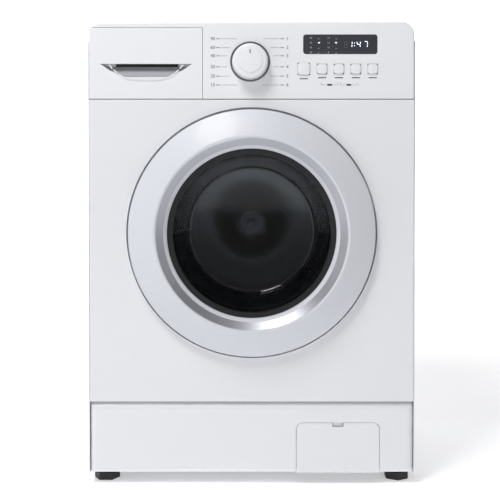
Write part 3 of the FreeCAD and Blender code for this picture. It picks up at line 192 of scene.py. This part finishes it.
@dataclass(frozen=True)
class Perforation:
    """Round holes in rows round the drum, drawn by formula.

    Args:
        around: how many holes go round.
        pitch: distance between rows along the axis.
        radius: hole radius as a share of the pitch.
    """

    around: int = 96
    pitch: float = 15 * MM
    radius: float = 0.17

    def build(self) -> bpy.types.Material:
        """Makes the drum's steel with its holes.

        Returns:
            The material.
        """
        material = Finishes.STEEL.value.build("perforated_steel")
        nodes, links = material.node_tree.nodes, material.node_tree.links
        shader = nodes["Principled BSDF"]
        place = nodes.new("ShaderNodeTexCoord")
        split = nodes.new("ShaderNodeSeparateXYZ")
        links.new(place.outputs["Object"], split.inputs["Vector"])

        def math_node(kind: str, one: object, other: object = 0.0) -> bpy.types.NodeSocket:
            """Adds one sum and returns its result."""
            node = nodes.new("ShaderNodeMath")
            node.operation = kind
            for socket, value in zip(node.inputs, (one, other)):
                if isinstance(value, (int, float)):
                    socket.default_value = value
                else:
                    links.new(value, socket)
            return node.outputs["Value"]

        height = math_node("SUBTRACT", split.outputs["Z"], AXIS_Z)
        angle = math_node("ARCTAN2", split.outputs["X"], height)
        turns = math_node("MULTIPLY", angle, self.around / math.tau)
        rows = math_node("DIVIDE", split.outputs["Y"], self.pitch)
        offset = math_node("MULTIPLY", math_node("FLOOR", rows), 0.5)
        across = math_node("SUBTRACT", math_node("FRACT", math_node("ADD", turns, offset)), 0.5)
        along = math_node("SUBTRACT", math_node("FRACT", rows), 0.5)
        squared = math_node(
            "ADD", math_node("MULTIPLY", across, across), math_node("MULTIPLY", along, along))
        hole = math_node("LESS_THAN", squared, self.radius**2)
        mix = nodes.new("ShaderNodeMix")
        mix.data_type = "RGBA"
        mix.inputs["A"].default_value = (*Finishes.STEEL.value.colour, 1)
        mix.inputs["B"].default_value = (*HOLE_COLOUR, 1)
        links.new(hole, mix.inputs["Factor"])
        links.new(mix.outputs["Result"], shader.inputs["Base Color"])
        return material


# --------------------------------------------------------------------------
# Making meshes
# --------------------------------------------------------------------------
def start_fresh() -> None:
    """Leaves nothing selected, so that an operator sees only its own piece."""
    bpy.ops.object.select_all(action="DESELECT")


def settle(name: str) -> bpy.types.Object:
    """Names the active piece and puts its place into its mesh.

    Args:
        name: the piece's name.

    Returns:
        The piece.
    """
    piece = bpy.context.active_object
    piece.name = name
    bpy.ops.object.transform_apply(location=True, rotation=True, scale=True)
    return piece


def arc(centre: Point2, radius: float, start: float, end: float, steps: int = 6) -> list[Point2]:
    """Points on an arc.

    Args:
        centre: the arc's centre.
        radius: its radius.
        start: first angle in degrees.
        end: last angle in degrees.
        steps: how many steps.

    Returns:
        The points, both ends with them.
    """
    angles = [math.radians(start + (end - start) * n / steps) for n in range(steps + 1)]
    return [(centre[0] + radius * math.cos(a), centre[1] + radius * math.sin(a)) for a in angles]


def spun(name: str, profile: Sequence[Point2], x: float, z: float, closed: bool = True,
         segments: int = 160) -> bpy.types.Object:
    """A piece turned about an axis along Y.

    Args:
        name: the piece's name.
        profile: (radius, y) points in metres; a last radius of zero closes the piece with a point.
        x: the axis's x.
        z: the axis's z.
        closed: whether the last point joins the first.
        segments: how many sides the turn has.

    Returns:
        The piece, smooth where it bends gently.
    """
    start_fresh()
    radius, y = profile[0]
    bpy.ops.mesh.primitive_circle_add(
        vertices=segments, radius=radius, location=(x, y, z), rotation=(math.pi / 2, 0, 0))
    piece = settle(name)
    bpy.ops.object.mode_set(mode="EDIT")
    bpy.ops.mesh.select_all(action="SELECT")
    stops = [*profile[1:], profile[0]] if closed else list(profile[1:])
    for next_radius, next_y in stops:
        bpy.ops.mesh.extrude_region_move()
        scale = max(next_radius, SAME_PLACE) / radius
        bpy.ops.transform.resize(value=(scale, 1, scale), center_override=(x, y, z))
        bpy.ops.transform.translate(value=(0, next_y - y, 0))
        radius, y = max(next_radius, SAME_PLACE), next_y
    bpy.ops.mesh.select_all(action="SELECT")
    bpy.ops.mesh.remove_doubles(threshold=WELD_DISTANCE)
    bpy.ops.mesh.normals_make_consistent(inside=False)
    bpy.ops.object.mode_set(mode="OBJECT")
    bpy.ops.object.shade_smooth_by_angle(angle=SMOOTH_ANGLE)
    return piece


def select_edges(piece: bpy.types.Object, test: Callable[[Vector, Vector], bool]) -> None:
    """Selects the edges whose two ends pass a test, and stays in edit mode.

    Args:
        piece: the active piece.
        test: takes an edge's two ends.
    """
    bpy.ops.object.mode_set(mode="EDIT")
    bpy.ops.mesh.select_mode(type="EDGE")
    bpy.ops.mesh.select_all(action="DESELECT")
    bpy.ops.object.mode_set(mode="OBJECT")
    points = piece.data.vertices
    for edge in piece.data.edges:
        edge.select = test(*(points[n].co for n in edge.vertices))
    bpy.ops.object.mode_set(mode="EDIT")


def rounded_plate(name: str, low: Vector, high: Vector, corner: float, edge: float) -> bpy.types.Object:
    """A plate facing -Y with round corners and a softened front edge.

    Args:
        name: the piece's name.
        low: its lowest corner.
        high: its highest corner.
        corner: the radius of the corners seen from the front.
        edge: the radius of the front edge.

    Returns:
        The piece.
    """
    start_fresh()
    bpy.ops.mesh.primitive_cube_add(size=1, location=(low + high) / 2, scale=high - low)
    piece = settle(name)
    select_edges(piece, lambda a, b: abs(a.y - b.y) > SAME_PLACE)
    bpy.ops.mesh.bevel(offset=corner, segments=6, affect="EDGES")
    if edge:
        select_edges(piece, lambda a, b: max(a.y, b.y) < low.y + SAME_PLACE)
        bpy.ops.mesh.bevel(offset=edge, segments=3, affect="EDGES")
    bpy.ops.object.mode_set(mode="OBJECT")
    bpy.ops.object.shade_smooth_by_angle(angle=SMOOTH_ANGLE)
    return piece


def bar(name: str, x: float, z: float, wide: float, tall: float, y: float, thick: float = 0.00012,
        lean: float = 0.0) -> bpy.types.Object:
    """A thin printed bar that lies on a face towards -Y.

    Args:
        name: the piece's name.
        x: centre.
        z: centre.
        wide: length along X before it leans.
        tall: height.
        y: the face it lies on.
        thick: how far it stands out.
        lean: turn about Y in radians.

    Returns:
        The piece.
    """
    start_fresh()
    bpy.ops.mesh.primitive_cube_add(size=1, location=(x, y - thick / 2, z), rotation=(0, lean, 0),
                                    scale=(wide, thick, tall))
    piece = settle(name)
    select_edges(piece, lambda a, b: abs(a.y - b.y) > SAME_PLACE)
    bpy.ops.mesh.bevel(offset=min(wide, tall) * 0.3, segments=2, affect="EDGES")
    bpy.ops.object.mode_set(mode="OBJECT")
    return piece


def digits(text: str, x: float, z: float, tall: float, y: float) -> bpy.types.Object:
    """Printed digits that face -Y.

    Args:
        text: numbers only.
        x: their middle.
        z: their middle.
        tall: their height.
        y: the face they lie on.

    Returns:
        The piece, as a mesh.
    """
    start_fresh()
    bpy.ops.object.text_add(location=(x, y, z), rotation=(math.pi / 2, 0, 0))
    words = bpy.context.active_object
    words.data.body = text
    words.data.size = tall * 1.35
    words.data.align_x = "CENTER"
    words.data.align_y = "CENTER"
    words.data.extrude = 0.00006
    words.data.resolution_u = 3
    bpy.ops.object.convert(target="MESH")
    return settle(f"digits_{text}")


def joined(name: str, pieces: Iterable[bpy.types.Object]) -> bpy.types.Object:
    """Several meshes as one piece.

    Args:
        name: the new piece's name.
        pieces: what to join.

    Returns:
        The piece.
    """
    start_fresh()
    parts = list(pieces)
    for part in parts:
        part.select_set(True)
    bpy.context.view_layer.objects.active = parts[0]
    bpy.ops.object.join()
    parts[0].name = name
    return parts[0]


def dress(piece: bpy.types.Object, finish: Finishes, body: str, *stands_for: str) -> bpy.types.Object:
    """Gives a new piece its finish, its body and the CAD nodes it stands for.

    Args:
        piece: the piece.
        finish: its finish.
        body: the CAD body it moves with.
        stands_for: CAD nodes that are no longer shown.

    Returns:
        The piece.
    """
    piece.data.materials.clear()
    piece.data.materials.append(material_of(finish))
    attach(piece, body)
    if stands_for:
        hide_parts(*stands_for)
    return piece


# --------------------------------------------------------------------------
# Sub-assemblies
# --------------------------------------------------------------------------
@dataclass
class Door:
    """The porthole door: its turned ring, the bowl, and the dark band where the glass is seated."""

    rim: float = 225 * MM
    crest: float = 179 * MM
    hole: float = 154 * MM
    proud: float = 38 * MM
    bowl: float = 126 * MM
    depth: float = 92 * MM
    glass: float = 4 * MM

    def build(self) -> None:
        """Makes the door's visible pieces."""
        self.ring()
        self.window()
        self.band()

    def ring(self) -> None:
        """The ring: a thin lip at the rim, a long slope to the crest, and the cone down to the glass."""
        wall = 3 * MM
        crest_y = FRONT - self.proud
        crown = arc((self.crest - 3 * MM, crest_y + 5 * MM), 5 * MM, -60, -132, 8)
        outer = [
            (self.rim, FRONT + 3 * MM), *arc((self.rim - 2 * MM, FRONT - 11 * MM), 2 * MM, 0, -60, 4),
            *crown, *arc((self.hole + 1.4 * MM, FRONT - 19 * MM), 1.4 * MM, 225, 180, 3),
            (self.hole, FRONT - 11.3 * MM)]
        inner = [
            (self.hole + 10 * MM, FRONT - 11.3 * MM), (self.hole + 10 * MM, FRONT - 14.3 * MM),
            (self.hole + wall, FRONT - 14.3 * MM), (self.hole + wall, FRONT - 17.5 * MM),
            (self.crest - 4 * MM, crest_y + wall + 1 * MM), (self.crest, crest_y + wall + 1 * MM),
            (self.rim - wall, FRONT - 9.5 * MM), (self.rim - wall, FRONT + 3 * MM)]
        ring = spun("door_ring", [*outer, *inner], 0, AXIS_Z, segments=224)
        dress(ring, Finishes.RING, "door", "door_frame")
        # A thin skin over the cone carries the painted shade: a darkened, metallic copy of the ring's white
        # plastic.
        skin = 0.25 * MM
        cone = spun("door_cone", [
            (self.hole + 0.6 * MM, FRONT - 19.6 * MM), (self.crest - 6.4 * MM, crest_y + 1.2 * MM),
            (self.crest - 6.4 * MM - skin, crest_y + 1.2 * MM - skin / 2),
            (self.hole + 0.6 * MM - skin, FRONT - 19.6 * MM - skin / 2)], 0, AXIS_Z, segments=224)
        dress(cone, Finishes.CONE, "door")

    def window(self) -> None:
        """The glass bowl, with a rounded bottom edge."""
        deep = FRONT + self.depth
        bend = 9 * MM
        half_glass = self.glass / 2
        outside = [
            (self.hole + 9 * MM, FRONT - 6 * MM), (self.hole - 8 * MM, FRONT - 6 * MM),
            *arc((self.bowl - bend, deep - bend), bend, 8, 90, 8), (0, deep)]
        inside = [
            (self.hole + 9 * MM, FRONT - 11 * MM), (self.hole - 10 * MM, FRONT - 11 * MM),
            *arc((self.bowl - bend - half_glass, deep - bend - half_glass), bend - half_glass, 8, 90, 8),
            (0, deep - self.glass)]
        bowl = spun("door_bowl", inside, 0, AXIS_Z, closed=False, segments=192)
        shell = spun("door_bowl_back", outside, 0, AXIS_Z, closed=False, segments=192)
        bowl = joined("door_bowl", [bowl, shell])
        bpy.ops.object.mode_set(mode="EDIT")
        bpy.ops.mesh.select_mode(type="EDGE")
        bpy.ops.mesh.select_all(action="DESELECT")
        bpy.ops.mesh.select_non_manifold()
        bpy.ops.mesh.bridge_edge_loops()
        bpy.ops.mesh.select_all(action="SELECT")
        bpy.ops.mesh.normals_make_consistent(inside=False)
        bpy.ops.object.mode_set(mode="OBJECT")
        bpy.ops.object.shade_smooth_by_angle(angle=SMOOTH_ANGLE)
        # The bowl's grey tint is partly painted shade, darkening the drum seen through it.
        dress(bowl, Finishes.GLASS, "door", "door_glass")

    def band(self) -> None:
        """The dark band printed on the glass, between the cone and the bowl."""
        y = FRONT - 11.05 * MM
        band = spun("glass_band", [
            (self.hole + 6 * MM, y), (self.hole + 6 * MM, y - 0.2 * MM),
            (self.hole - 9 * MM, y - 0.2 * MM),
            (self.hole - 10 * MM, y)], 0, AXIS_Z, segments=192)
        dress(band, Finishes.DARK, "door")


@dataclass
class Knob:
    """The programme knob, its pointer and the trim ring round it."""

    radius: float = 31.5 * MM
    face_radius: float = 22.5 * MM
    proud: float = 25 * MM
    ring_radius: float = 36.5 * MM

    def build(self) -> None:
        """Makes the knob's pieces."""
        low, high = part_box("program_knob")
        x, z = (low.x + high.x) / 2, (low.z + high.z) / 2
        tip = FRONT - self.proud
        profile = [
            (6 * MM, FRONT + 18 * MM), (6 * MM, FRONT - 0.7 * MM), (self.radius - 1 * MM, FRONT - 0.7 * MM),
            (self.radius, FRONT - 2 * MM),
            *arc((self.radius - 4.5 * MM, tip + 5.5 * MM), 4 * MM, 0, -90, 6),
            (self.face_radius + 1 * MM, tip + 1.2 * MM), (self.face_radius, tip + 0.3 * MM),
            *arc((self.face_radius - 2 * MM, tip + 1.6 * MM), 1.6 * MM, -20, -90, 4), (0, tip)]
        knob = spun("knob", profile, x, z, closed=False, segments=96)
        dress(knob, Finishes.WHITE, "program_knob", "program_knob")
        mark = rounded_plate("knob_pointer", Vector((x - 1.0 * MM, tip - 0.35 * MM, z + 12 * MM)),
                             Vector((x + 1.0 * MM, tip + 1 * MM, z + 20 * MM)), 0.9 * MM, 0.2 * MM)
        dress(mark, Finishes.GREY, "program_knob")
        ring = spun("knob_trim", [
            (self.ring_radius, FRONT),
            *arc((self.ring_radius - 1.2 * MM, FRONT - 0.9 * MM), 1.2 * MM, 0, -180, 8),
            (self.ring_radius - 3.4 * MM, FRONT)], x, z, segments=128)
        dress(ring, Finishes.KNOB_TRIM, "cabinet", "knob_ring")
        self.marks(x, z)

    def marks(self, x: float, z: float) -> None:
        """The programme numbers on both sides, with their leader lines.

        Args:
            x: the knob's centre.
            z: the knob's centre.
        """
        rows = (41.5, 25.5, 10.5, -9.5, -26.5, -42.5)
        left = ("90", "60", "40", "30", "20", "15")
        right = ("1", "2", "3", "4", "5", "6")
        parts = []
        for side, words in ((-1, left), (1, right)):
            for row, word in zip(rows, words):
                height = z + row * MM
                parts.append(digits(word, x + side * 68 * MM, height, 6.2 * MM, FRONT - PRINT_SINK))
                parts.append(bar("dash", x + side * 58.5 * MM, height, 7 * MM, 1.1 * MM, FRONT))
                reach = math.sqrt(max(0.0, (43 * MM) ** 2 - (row * MM * 0.86) ** 2))
                start = max(reach, 22 * MM)
                end = 53 * MM
                middle = x + side * (start + end) / 2
                parts.append(bar("leader", middle, height, end - start, 0.5 * MM, FRONT))
        dress(joined("programme_marks", parts), Finishes.PRINT, "cabinet")


@dataclass
class Display:
    """The display window: its cover, the clock digits and two columns of lamps."""

    digit_tall: float = 10.5 * MM
    digit_wide: float = 6.0 * MM
    stroke: float = 1.1 * MM
    segments: dict[str, str] = field(
        default_factory=lambda: {"8": "abcdefg", "1": "bc", "4": "bcfg", "7": "abc"})

    def build(self) -> None:
        """Makes the display's pieces."""
        low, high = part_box("display_lens")
        cover = rounded_plate("display_cover", low, high, 5 * MM, 0.4 * MM)
        dress(cover, Finishes.WINDOW, "cabinet", "display_lens")
        rim = Vector((0.25 * MM, 0, 0.25 * MM))
        bezel = rounded_plate("display_bezel", low - rim + Vector((0, 0.15 * MM, 0)), high + rim, 0.3 * MM, 0)
        dress(bezel, Finishes.WHITE, "cabinet")
        y = low.y
        middle = (low.z + high.z) / 2
        lit = []
        for word, x in (("1", 180), ("4", 195), ("7", 208)):
            lit += self.digit(word, low.x + (x - 94) * MM, middle, y)
        for shift in (-2.6, 2.6):
            lit.append(bar("colon", low.x + 93.5 * MM, middle + shift * MM, 1.5 * MM, 1.5 * MM, y))
        for x in (28.8, 59.8):
            lit.append(bar("lamp", low.x + x * MM, middle + 3 * MM, 3.4 * MM, 1.5 * MM, y))
        dress(joined("display_digits", lit), Finishes.DIGIT, "cabinet")
        faint = self.digit("8", low.x + 78 * MM, middle, y)
        dress(joined("display_ghost", faint), Finishes.KNOB_TRIM, "cabinet")
        rows = []
        for x, words in ((14, ("90", "60", "40", "20")), (46, ("14", "12", "10", "8"))):
            for n, word in enumerate(words):
                height = high.z - (6.5 + n * 8.7) * MM
                rows.append(digits(word, low.x + x * MM, height, 3.2 * MM, y - PRINT_SINK))
                slot_x = low.x + (x + 14) * MM
                rows.append(bar("lamp_slot", slot_x, height - 1.5 * MM, 3 * MM, 0.7 * MM, y))
        dress(joined("display_rows", rows), Finishes.FAINT, "cabinet")

    def digit(self, word: str, x: float, z: float, y: float) -> list[bpy.types.Object]:
        """One seven-bar digit.

        Args:
            word: the digit.
            x: its centre.
            z: its centre.
            y: the face it lies on.

        Returns:
            Its lit bars.
        """
        half, reach = self.digit_tall / 2, self.digit_wide / 2
        across = (self.digit_wide - self.stroke * 1.3, self.stroke)
        upright = (self.stroke, half - self.stroke * 1.1)
        places = {
            "a": (0, half, across), "g": (0, 0, across), "d": (0, -half, across),
            "b": (reach, half / 2, upright), "c": (reach, -half / 2, upright),
            "e": (-reach, -half / 2, upright), "f": (-reach, half / 2, upright)}
        made = []
        for key in self.segments[word]:
            dx, dz, (wide, tall) = places[key]
            made.append(bar(f"bar_{key}", x + dx + dz * 0.08, z + dz, wide, tall, y))
        return made


@dataclass
class Buttons:
    """The push buttons, each with a soft edge, and the marks below them."""

    names: tuple[str, ...] = (
        "start_button", "temperature_button", "spin_button", "delay_button", "power_button")

    def build(self) -> None:
        """Makes the buttons and their marks."""
        marks = []
        for name in self.names:
            low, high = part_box(name)
            deep_end = Vector((high.x, low.y + 9 * MM, high.z))
            cap = rounded_plate(f"{name}_cap", low, deep_end, 4 * MM, 0.9 * MM)
            dress(cap, Finishes.WHITE, name)
            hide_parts(name)
            x = (low.x + high.x) / 2
            z = low.z - 7 * MM
            marks.append(bar("word", x, z, 15 * MM, 1.7 * MM, FRONT))
        for x in (142, 177):
            level = low.z - 20 * MM
            marks.append(bar("bracket", x * MM, level, 9 * MM, 3.2 * MM, FRONT))
            for side in (-1, 1):
                arm_x, end_x = (x + side * 11) * MM, (x + side * 15.4) * MM
                marks.append(bar("bracket_arm", arm_x, level, 9 * MM, 0.4 * MM, FRONT))
                marks.append(bar("bracket_end", end_x, low.z - 17.6 * MM, 0.4 * MM, 5 * MM, FRONT))
        dress(joined("button_marks", marks), Finishes.PRINT, "cabinet")


@dataclass
class DrawerHandle:
    """The drawer handle: a black plate painted as the shadow in its undercut, a scoop painted grey as the shade in
    its recess, and its raised lip.
    """

    half: float = 84 * MM
    middle: float = -192.5 * MM
    top: float = 771.5 * MM
    drop: float = 29 * MM
    curl: float = 3.2
    lip_share: float = 0.82
    steps: int = 16

    def build(self) -> None:
        """Makes the handle's pieces on the drawer's face."""
        x, top = self.middle, self.top
        # Painted shadow: this black plate stands for the shade in the finger gap under the handle's top edge.
        slot = rounded_plate("handle_shadow", Vector((x - 57 * MM, FRONT + 14.5 * MM, top - 5 * MM)),
                             Vector((x + 57 * MM, FRONT + 15.9 * MM, top + 8 * MM)), 2 * MM, 0)
        dress(slot, Finishes.DARK, "drawer")
        start_fresh()
        bpy.ops.mesh.primitive_cube_add(
            size=1, location=(x, FRONT + 8 * MM, top - 13.5 * MM), rotation=(math.radians(-36), 0, 0),
            scale=(164 * MM, 1 * MM, 23 * MM))
        scoop = settle("handle_scoop")
        middle = top - 13.5 * MM
        select_edges(scoop, lambda a, b: max(a.z, b.z) < middle)
        bpy.ops.transform.resize(value=(0.48, 1, 1), center_override=(x, FRONT, middle))
        select_edges(scoop, lambda a, b: True)
        bpy.ops.mesh.bevel(offset=0.3 * MM, segments=2, affect="EDGES")
        bpy.ops.object.mode_set(mode="OBJECT")
        # The scoop's grey is painted shade of the handle recess.
        dress(scoop, Finishes.SHADED_SCOOP, "drawer")
        reach = self.half * self.lip_share
        pieces = []
        for n in range(self.steps):
            a = -1 + 2 * (n + 0.5) / self.steps
            drop = self.drop * (1 - abs(a) ** self.curl)
            slope = self.drop * self.curl * abs(a) ** (self.curl - 1) * math.copysign(1, a) / reach
            pieces.append(bar("lip", x + a * reach, top - drop, self.half * 1.72 / self.steps,
                              2.2 * MM, FRONT, 1.3 * MM, -math.atan(slope)))
        dress(joined("handle_lip", pieces), Finishes.WHITE, "drawer")


@dataclass
class Drum:
    """The drum's dished back, with its pressed rings and the boss in the middle."""

    radius: float = 232 * MM

    def build(self) -> None:
        """Makes the drum's back."""
        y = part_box("drum_back")[1].y
        wall = 1 * MM
        dish = spun("drum_dish", [
            (self.radius, y), (self.radius, y - wall), (196 * MM, y - wall), (186 * MM, y - 6 * MM),
            (118 * MM, y - 6 * MM), (108 * MM, y - 2 * MM), (60 * MM, y - 3 * MM), (44 * MM, y - 10 * MM),
            (28 * MM, y - 12 * MM), (26 * MM, y - 8 * MM), (9 * MM, y - 8 * MM), (8 * MM, y - 13 * MM),
            *arc((6 * MM, y - 13 * MM), 2 * MM, 0, -90, 4), (0, y - 15 * MM)],
            0, AXIS_Z, closed=False, segments=160)
        dress(dish, Finishes.STEEL, "drum", "drum_back")


@dataclass
class FlapCatch:
    """The finger notch at the top of the filter flap."""

    def build(self) -> None:
        """Makes the notch's dark edge: two sides and a foot."""
        low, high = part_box("filter_flap")
        x = (low.x + high.x) / 2
        face, thick = FRONT + 1 * MM, 0.6 * MM
        edge = [bar("notch_side", x + side * 9.5 * MM, high.z - 3.6 * MM, 1.1 * MM, 6.5 * MM, face, thick)
                for side in (-1, 1)]
        edge.append(bar("notch_foot", x, high.z - 6.6 * MM, 17 * MM, 1.1 * MM, face, thick))
        dress(joined("flap_notch", edge), Finishes.KNOB_TRIM, "filter_flap")


CARRIED = {
    Finishes.ENAMEL: ("cabinet_shell", "front_panel", "back_panel"),
    Finishes.WHITE: ("top_cover", "kick_panel", "control_fascia", "drawer_front", "filter_flap", "inlet_valve"),
    Finishes.WARM: ("drawer_tray", "dispenser_housing", "door_inner_frame", "tub_front", "tub_rear", "drain_pump",
                    "pump_filter"),
    Finishes.GREY: ("base_frame", "door_grip", "damper_rods"),
    Finishes.DARK: ("door_lock", "damper_cylinders", "drain_outlet"),
    Finishes.BOARD: ("control_board",),
    Finishes.STEEL: ("drum_bearings", "heater", "drum_lifters"),
    Finishes.ZINC: ("foot_lock_nuts", "cabinet_screws", "door_hinge_bracket", "door_hinge_leaf", "latch_hook",
                    "drive_motor", "motor_pulley", "suspension_springs"),
    Finishes.RUBBER_GREY: ("door_gasket", "inlet_hose", "drain_hose"),
    Finishes.RUBBER_BLACK: ("drive_belt", "dispenser_hose", "sump_hose", "foot_front_left", "foot_front_right",
                            "foot_rear_left", "foot_rear_right"),
    Finishes.CONCRETE: ("counterweights",),
    Finishes.ALLOY: ("drum_spider", "drum_pulley"),
    Finishes.BLUE: ("siphon_cap",),
}


def dress_carried() -> None:
    """Gives each carried-over CAD node its finish."""
    for finish, names in CARRIED.items():
        for name in names:
            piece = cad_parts[name]
            piece.data.materials.clear()
            piece.data.materials.append(material_of(finish))
    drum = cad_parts["drum_shell"]
    drum.data.materials.clear()
    drum.data.materials.append(Perforation().build())


@dataclass
class Studio:
    """The floor, the lights and the camera."""

    distance: float = 1.75
    height: float = 0.58
    pitch: float = 1.0
    lens: float = 69.0
    shift_x: float = -0.0035
    shift_y: float = -0.1287
    aim: tuple[float, float, float] = (0, -0.2, 0.45)
    air_strength: float = 0.14
    floor_side: float = 14
    screen_side: float = 12
    screen_behind: float = 4

    def build(self) -> None:
        """Makes the studio."""
        start_fresh()
        bpy.ops.mesh.primitive_plane_add(size=self.floor_side, location=(0, 0, 0))
        floor = settle("studio_floor")
        bpy.ops.object.mode_set(mode="EDIT")
        bpy.ops.mesh.subdivide(number_cuts=4)
        bpy.ops.object.mode_set(mode="OBJECT")
        paper = Finish("paper", (0.93, 0.93, 0.94), rough=0.9, grain=0.0, glow=0.42).build("studio_paper")
        floor.data.materials.append(paper)
        world = bpy.data.worlds.new("studio_air")
        world.use_nodes = True
        air = world.node_tree.nodes["Background"]
        air.inputs["Color"].default_value = (1, 1, 1, 1)
        air.inputs["Strength"].default_value = self.air_strength
        bpy.context.scene.world = world
        self.backdrop()
        self.lamp("key_light", (-0.75, -1.35, 2.65), 0.8, 42)
        self.lamp("left_soft_box", (-2.5, -1.7, 1.0), 1.6, 11)
        self.lamp("right_soft_box", (2.5, -1.7, 1.0), 1.6, 6)
        self.camera()
        bpy.context.scene.view_settings.view_transform = "Standard"

    def backdrop(self) -> None:
        """Adds the white screen behind the machine."""
        start_fresh()
        bpy.ops.mesh.primitive_plane_add(
            size=self.screen_side, location=(0, self.screen_behind, 0), rotation=(math.pi / 2, 0, 0))
        screen = settle("studio_screen")
        bpy.ops.object.mode_set(mode="EDIT")
        bpy.ops.mesh.subdivide(number_cuts=2)
        bpy.ops.object.mode_set(mode="OBJECT")
        glow = Finish("paper", (1.0, 1.0, 1.0), rough=0.9, grain=0.0, glow=1.0).build("studio_glow")
        screen.data.materials.append(glow)

    def lamp(self, name: str, place: tuple[float, float, float], size: float, power: float) -> None:
        """Adds one soft lamp that faces the machine.

        Args:
            name: its name.
            place: where it stands.
            size: its side.
            power: in watts.
        """
        bpy.ops.object.light_add(type="AREA", location=place)
        lamp = bpy.context.active_object
        lamp.name = name
        lamp.data.size = size
        lamp.data.energy = power
        way = Vector(self.aim) - Vector(place)
        lamp.rotation_euler = way.to_track_quat("-Z", "Y").to_euler()

    def camera(self) -> None:
        """Adds the camera in front of the machine."""
        bpy.ops.object.camera_add(
            location=(0, FRONT - self.distance, self.height),
            rotation=(math.radians(90 - self.pitch), 0, 0))
        camera = bpy.context.active_object
        camera.name = "front_camera"
        camera.data.lens = self.lens
        camera.data.sensor_width = 36
        camera.data.shift_x = self.shift_x
        camera.data.shift_y = self.shift_y
        bpy.context.scene.camera = camera


def main() -> None:
    """Builds the looks."""
    logging.basicConfig(level=logging.INFO)
    dress_carried()
    for maker in (Door(), Drum(), Knob(), Display(), Buttons(), DrawerHandle(), FlapCatch(), Studio()):
        log.info("building %s", type(maker).__name__)
        maker.build()


if __name__ == "__main__":
    main()
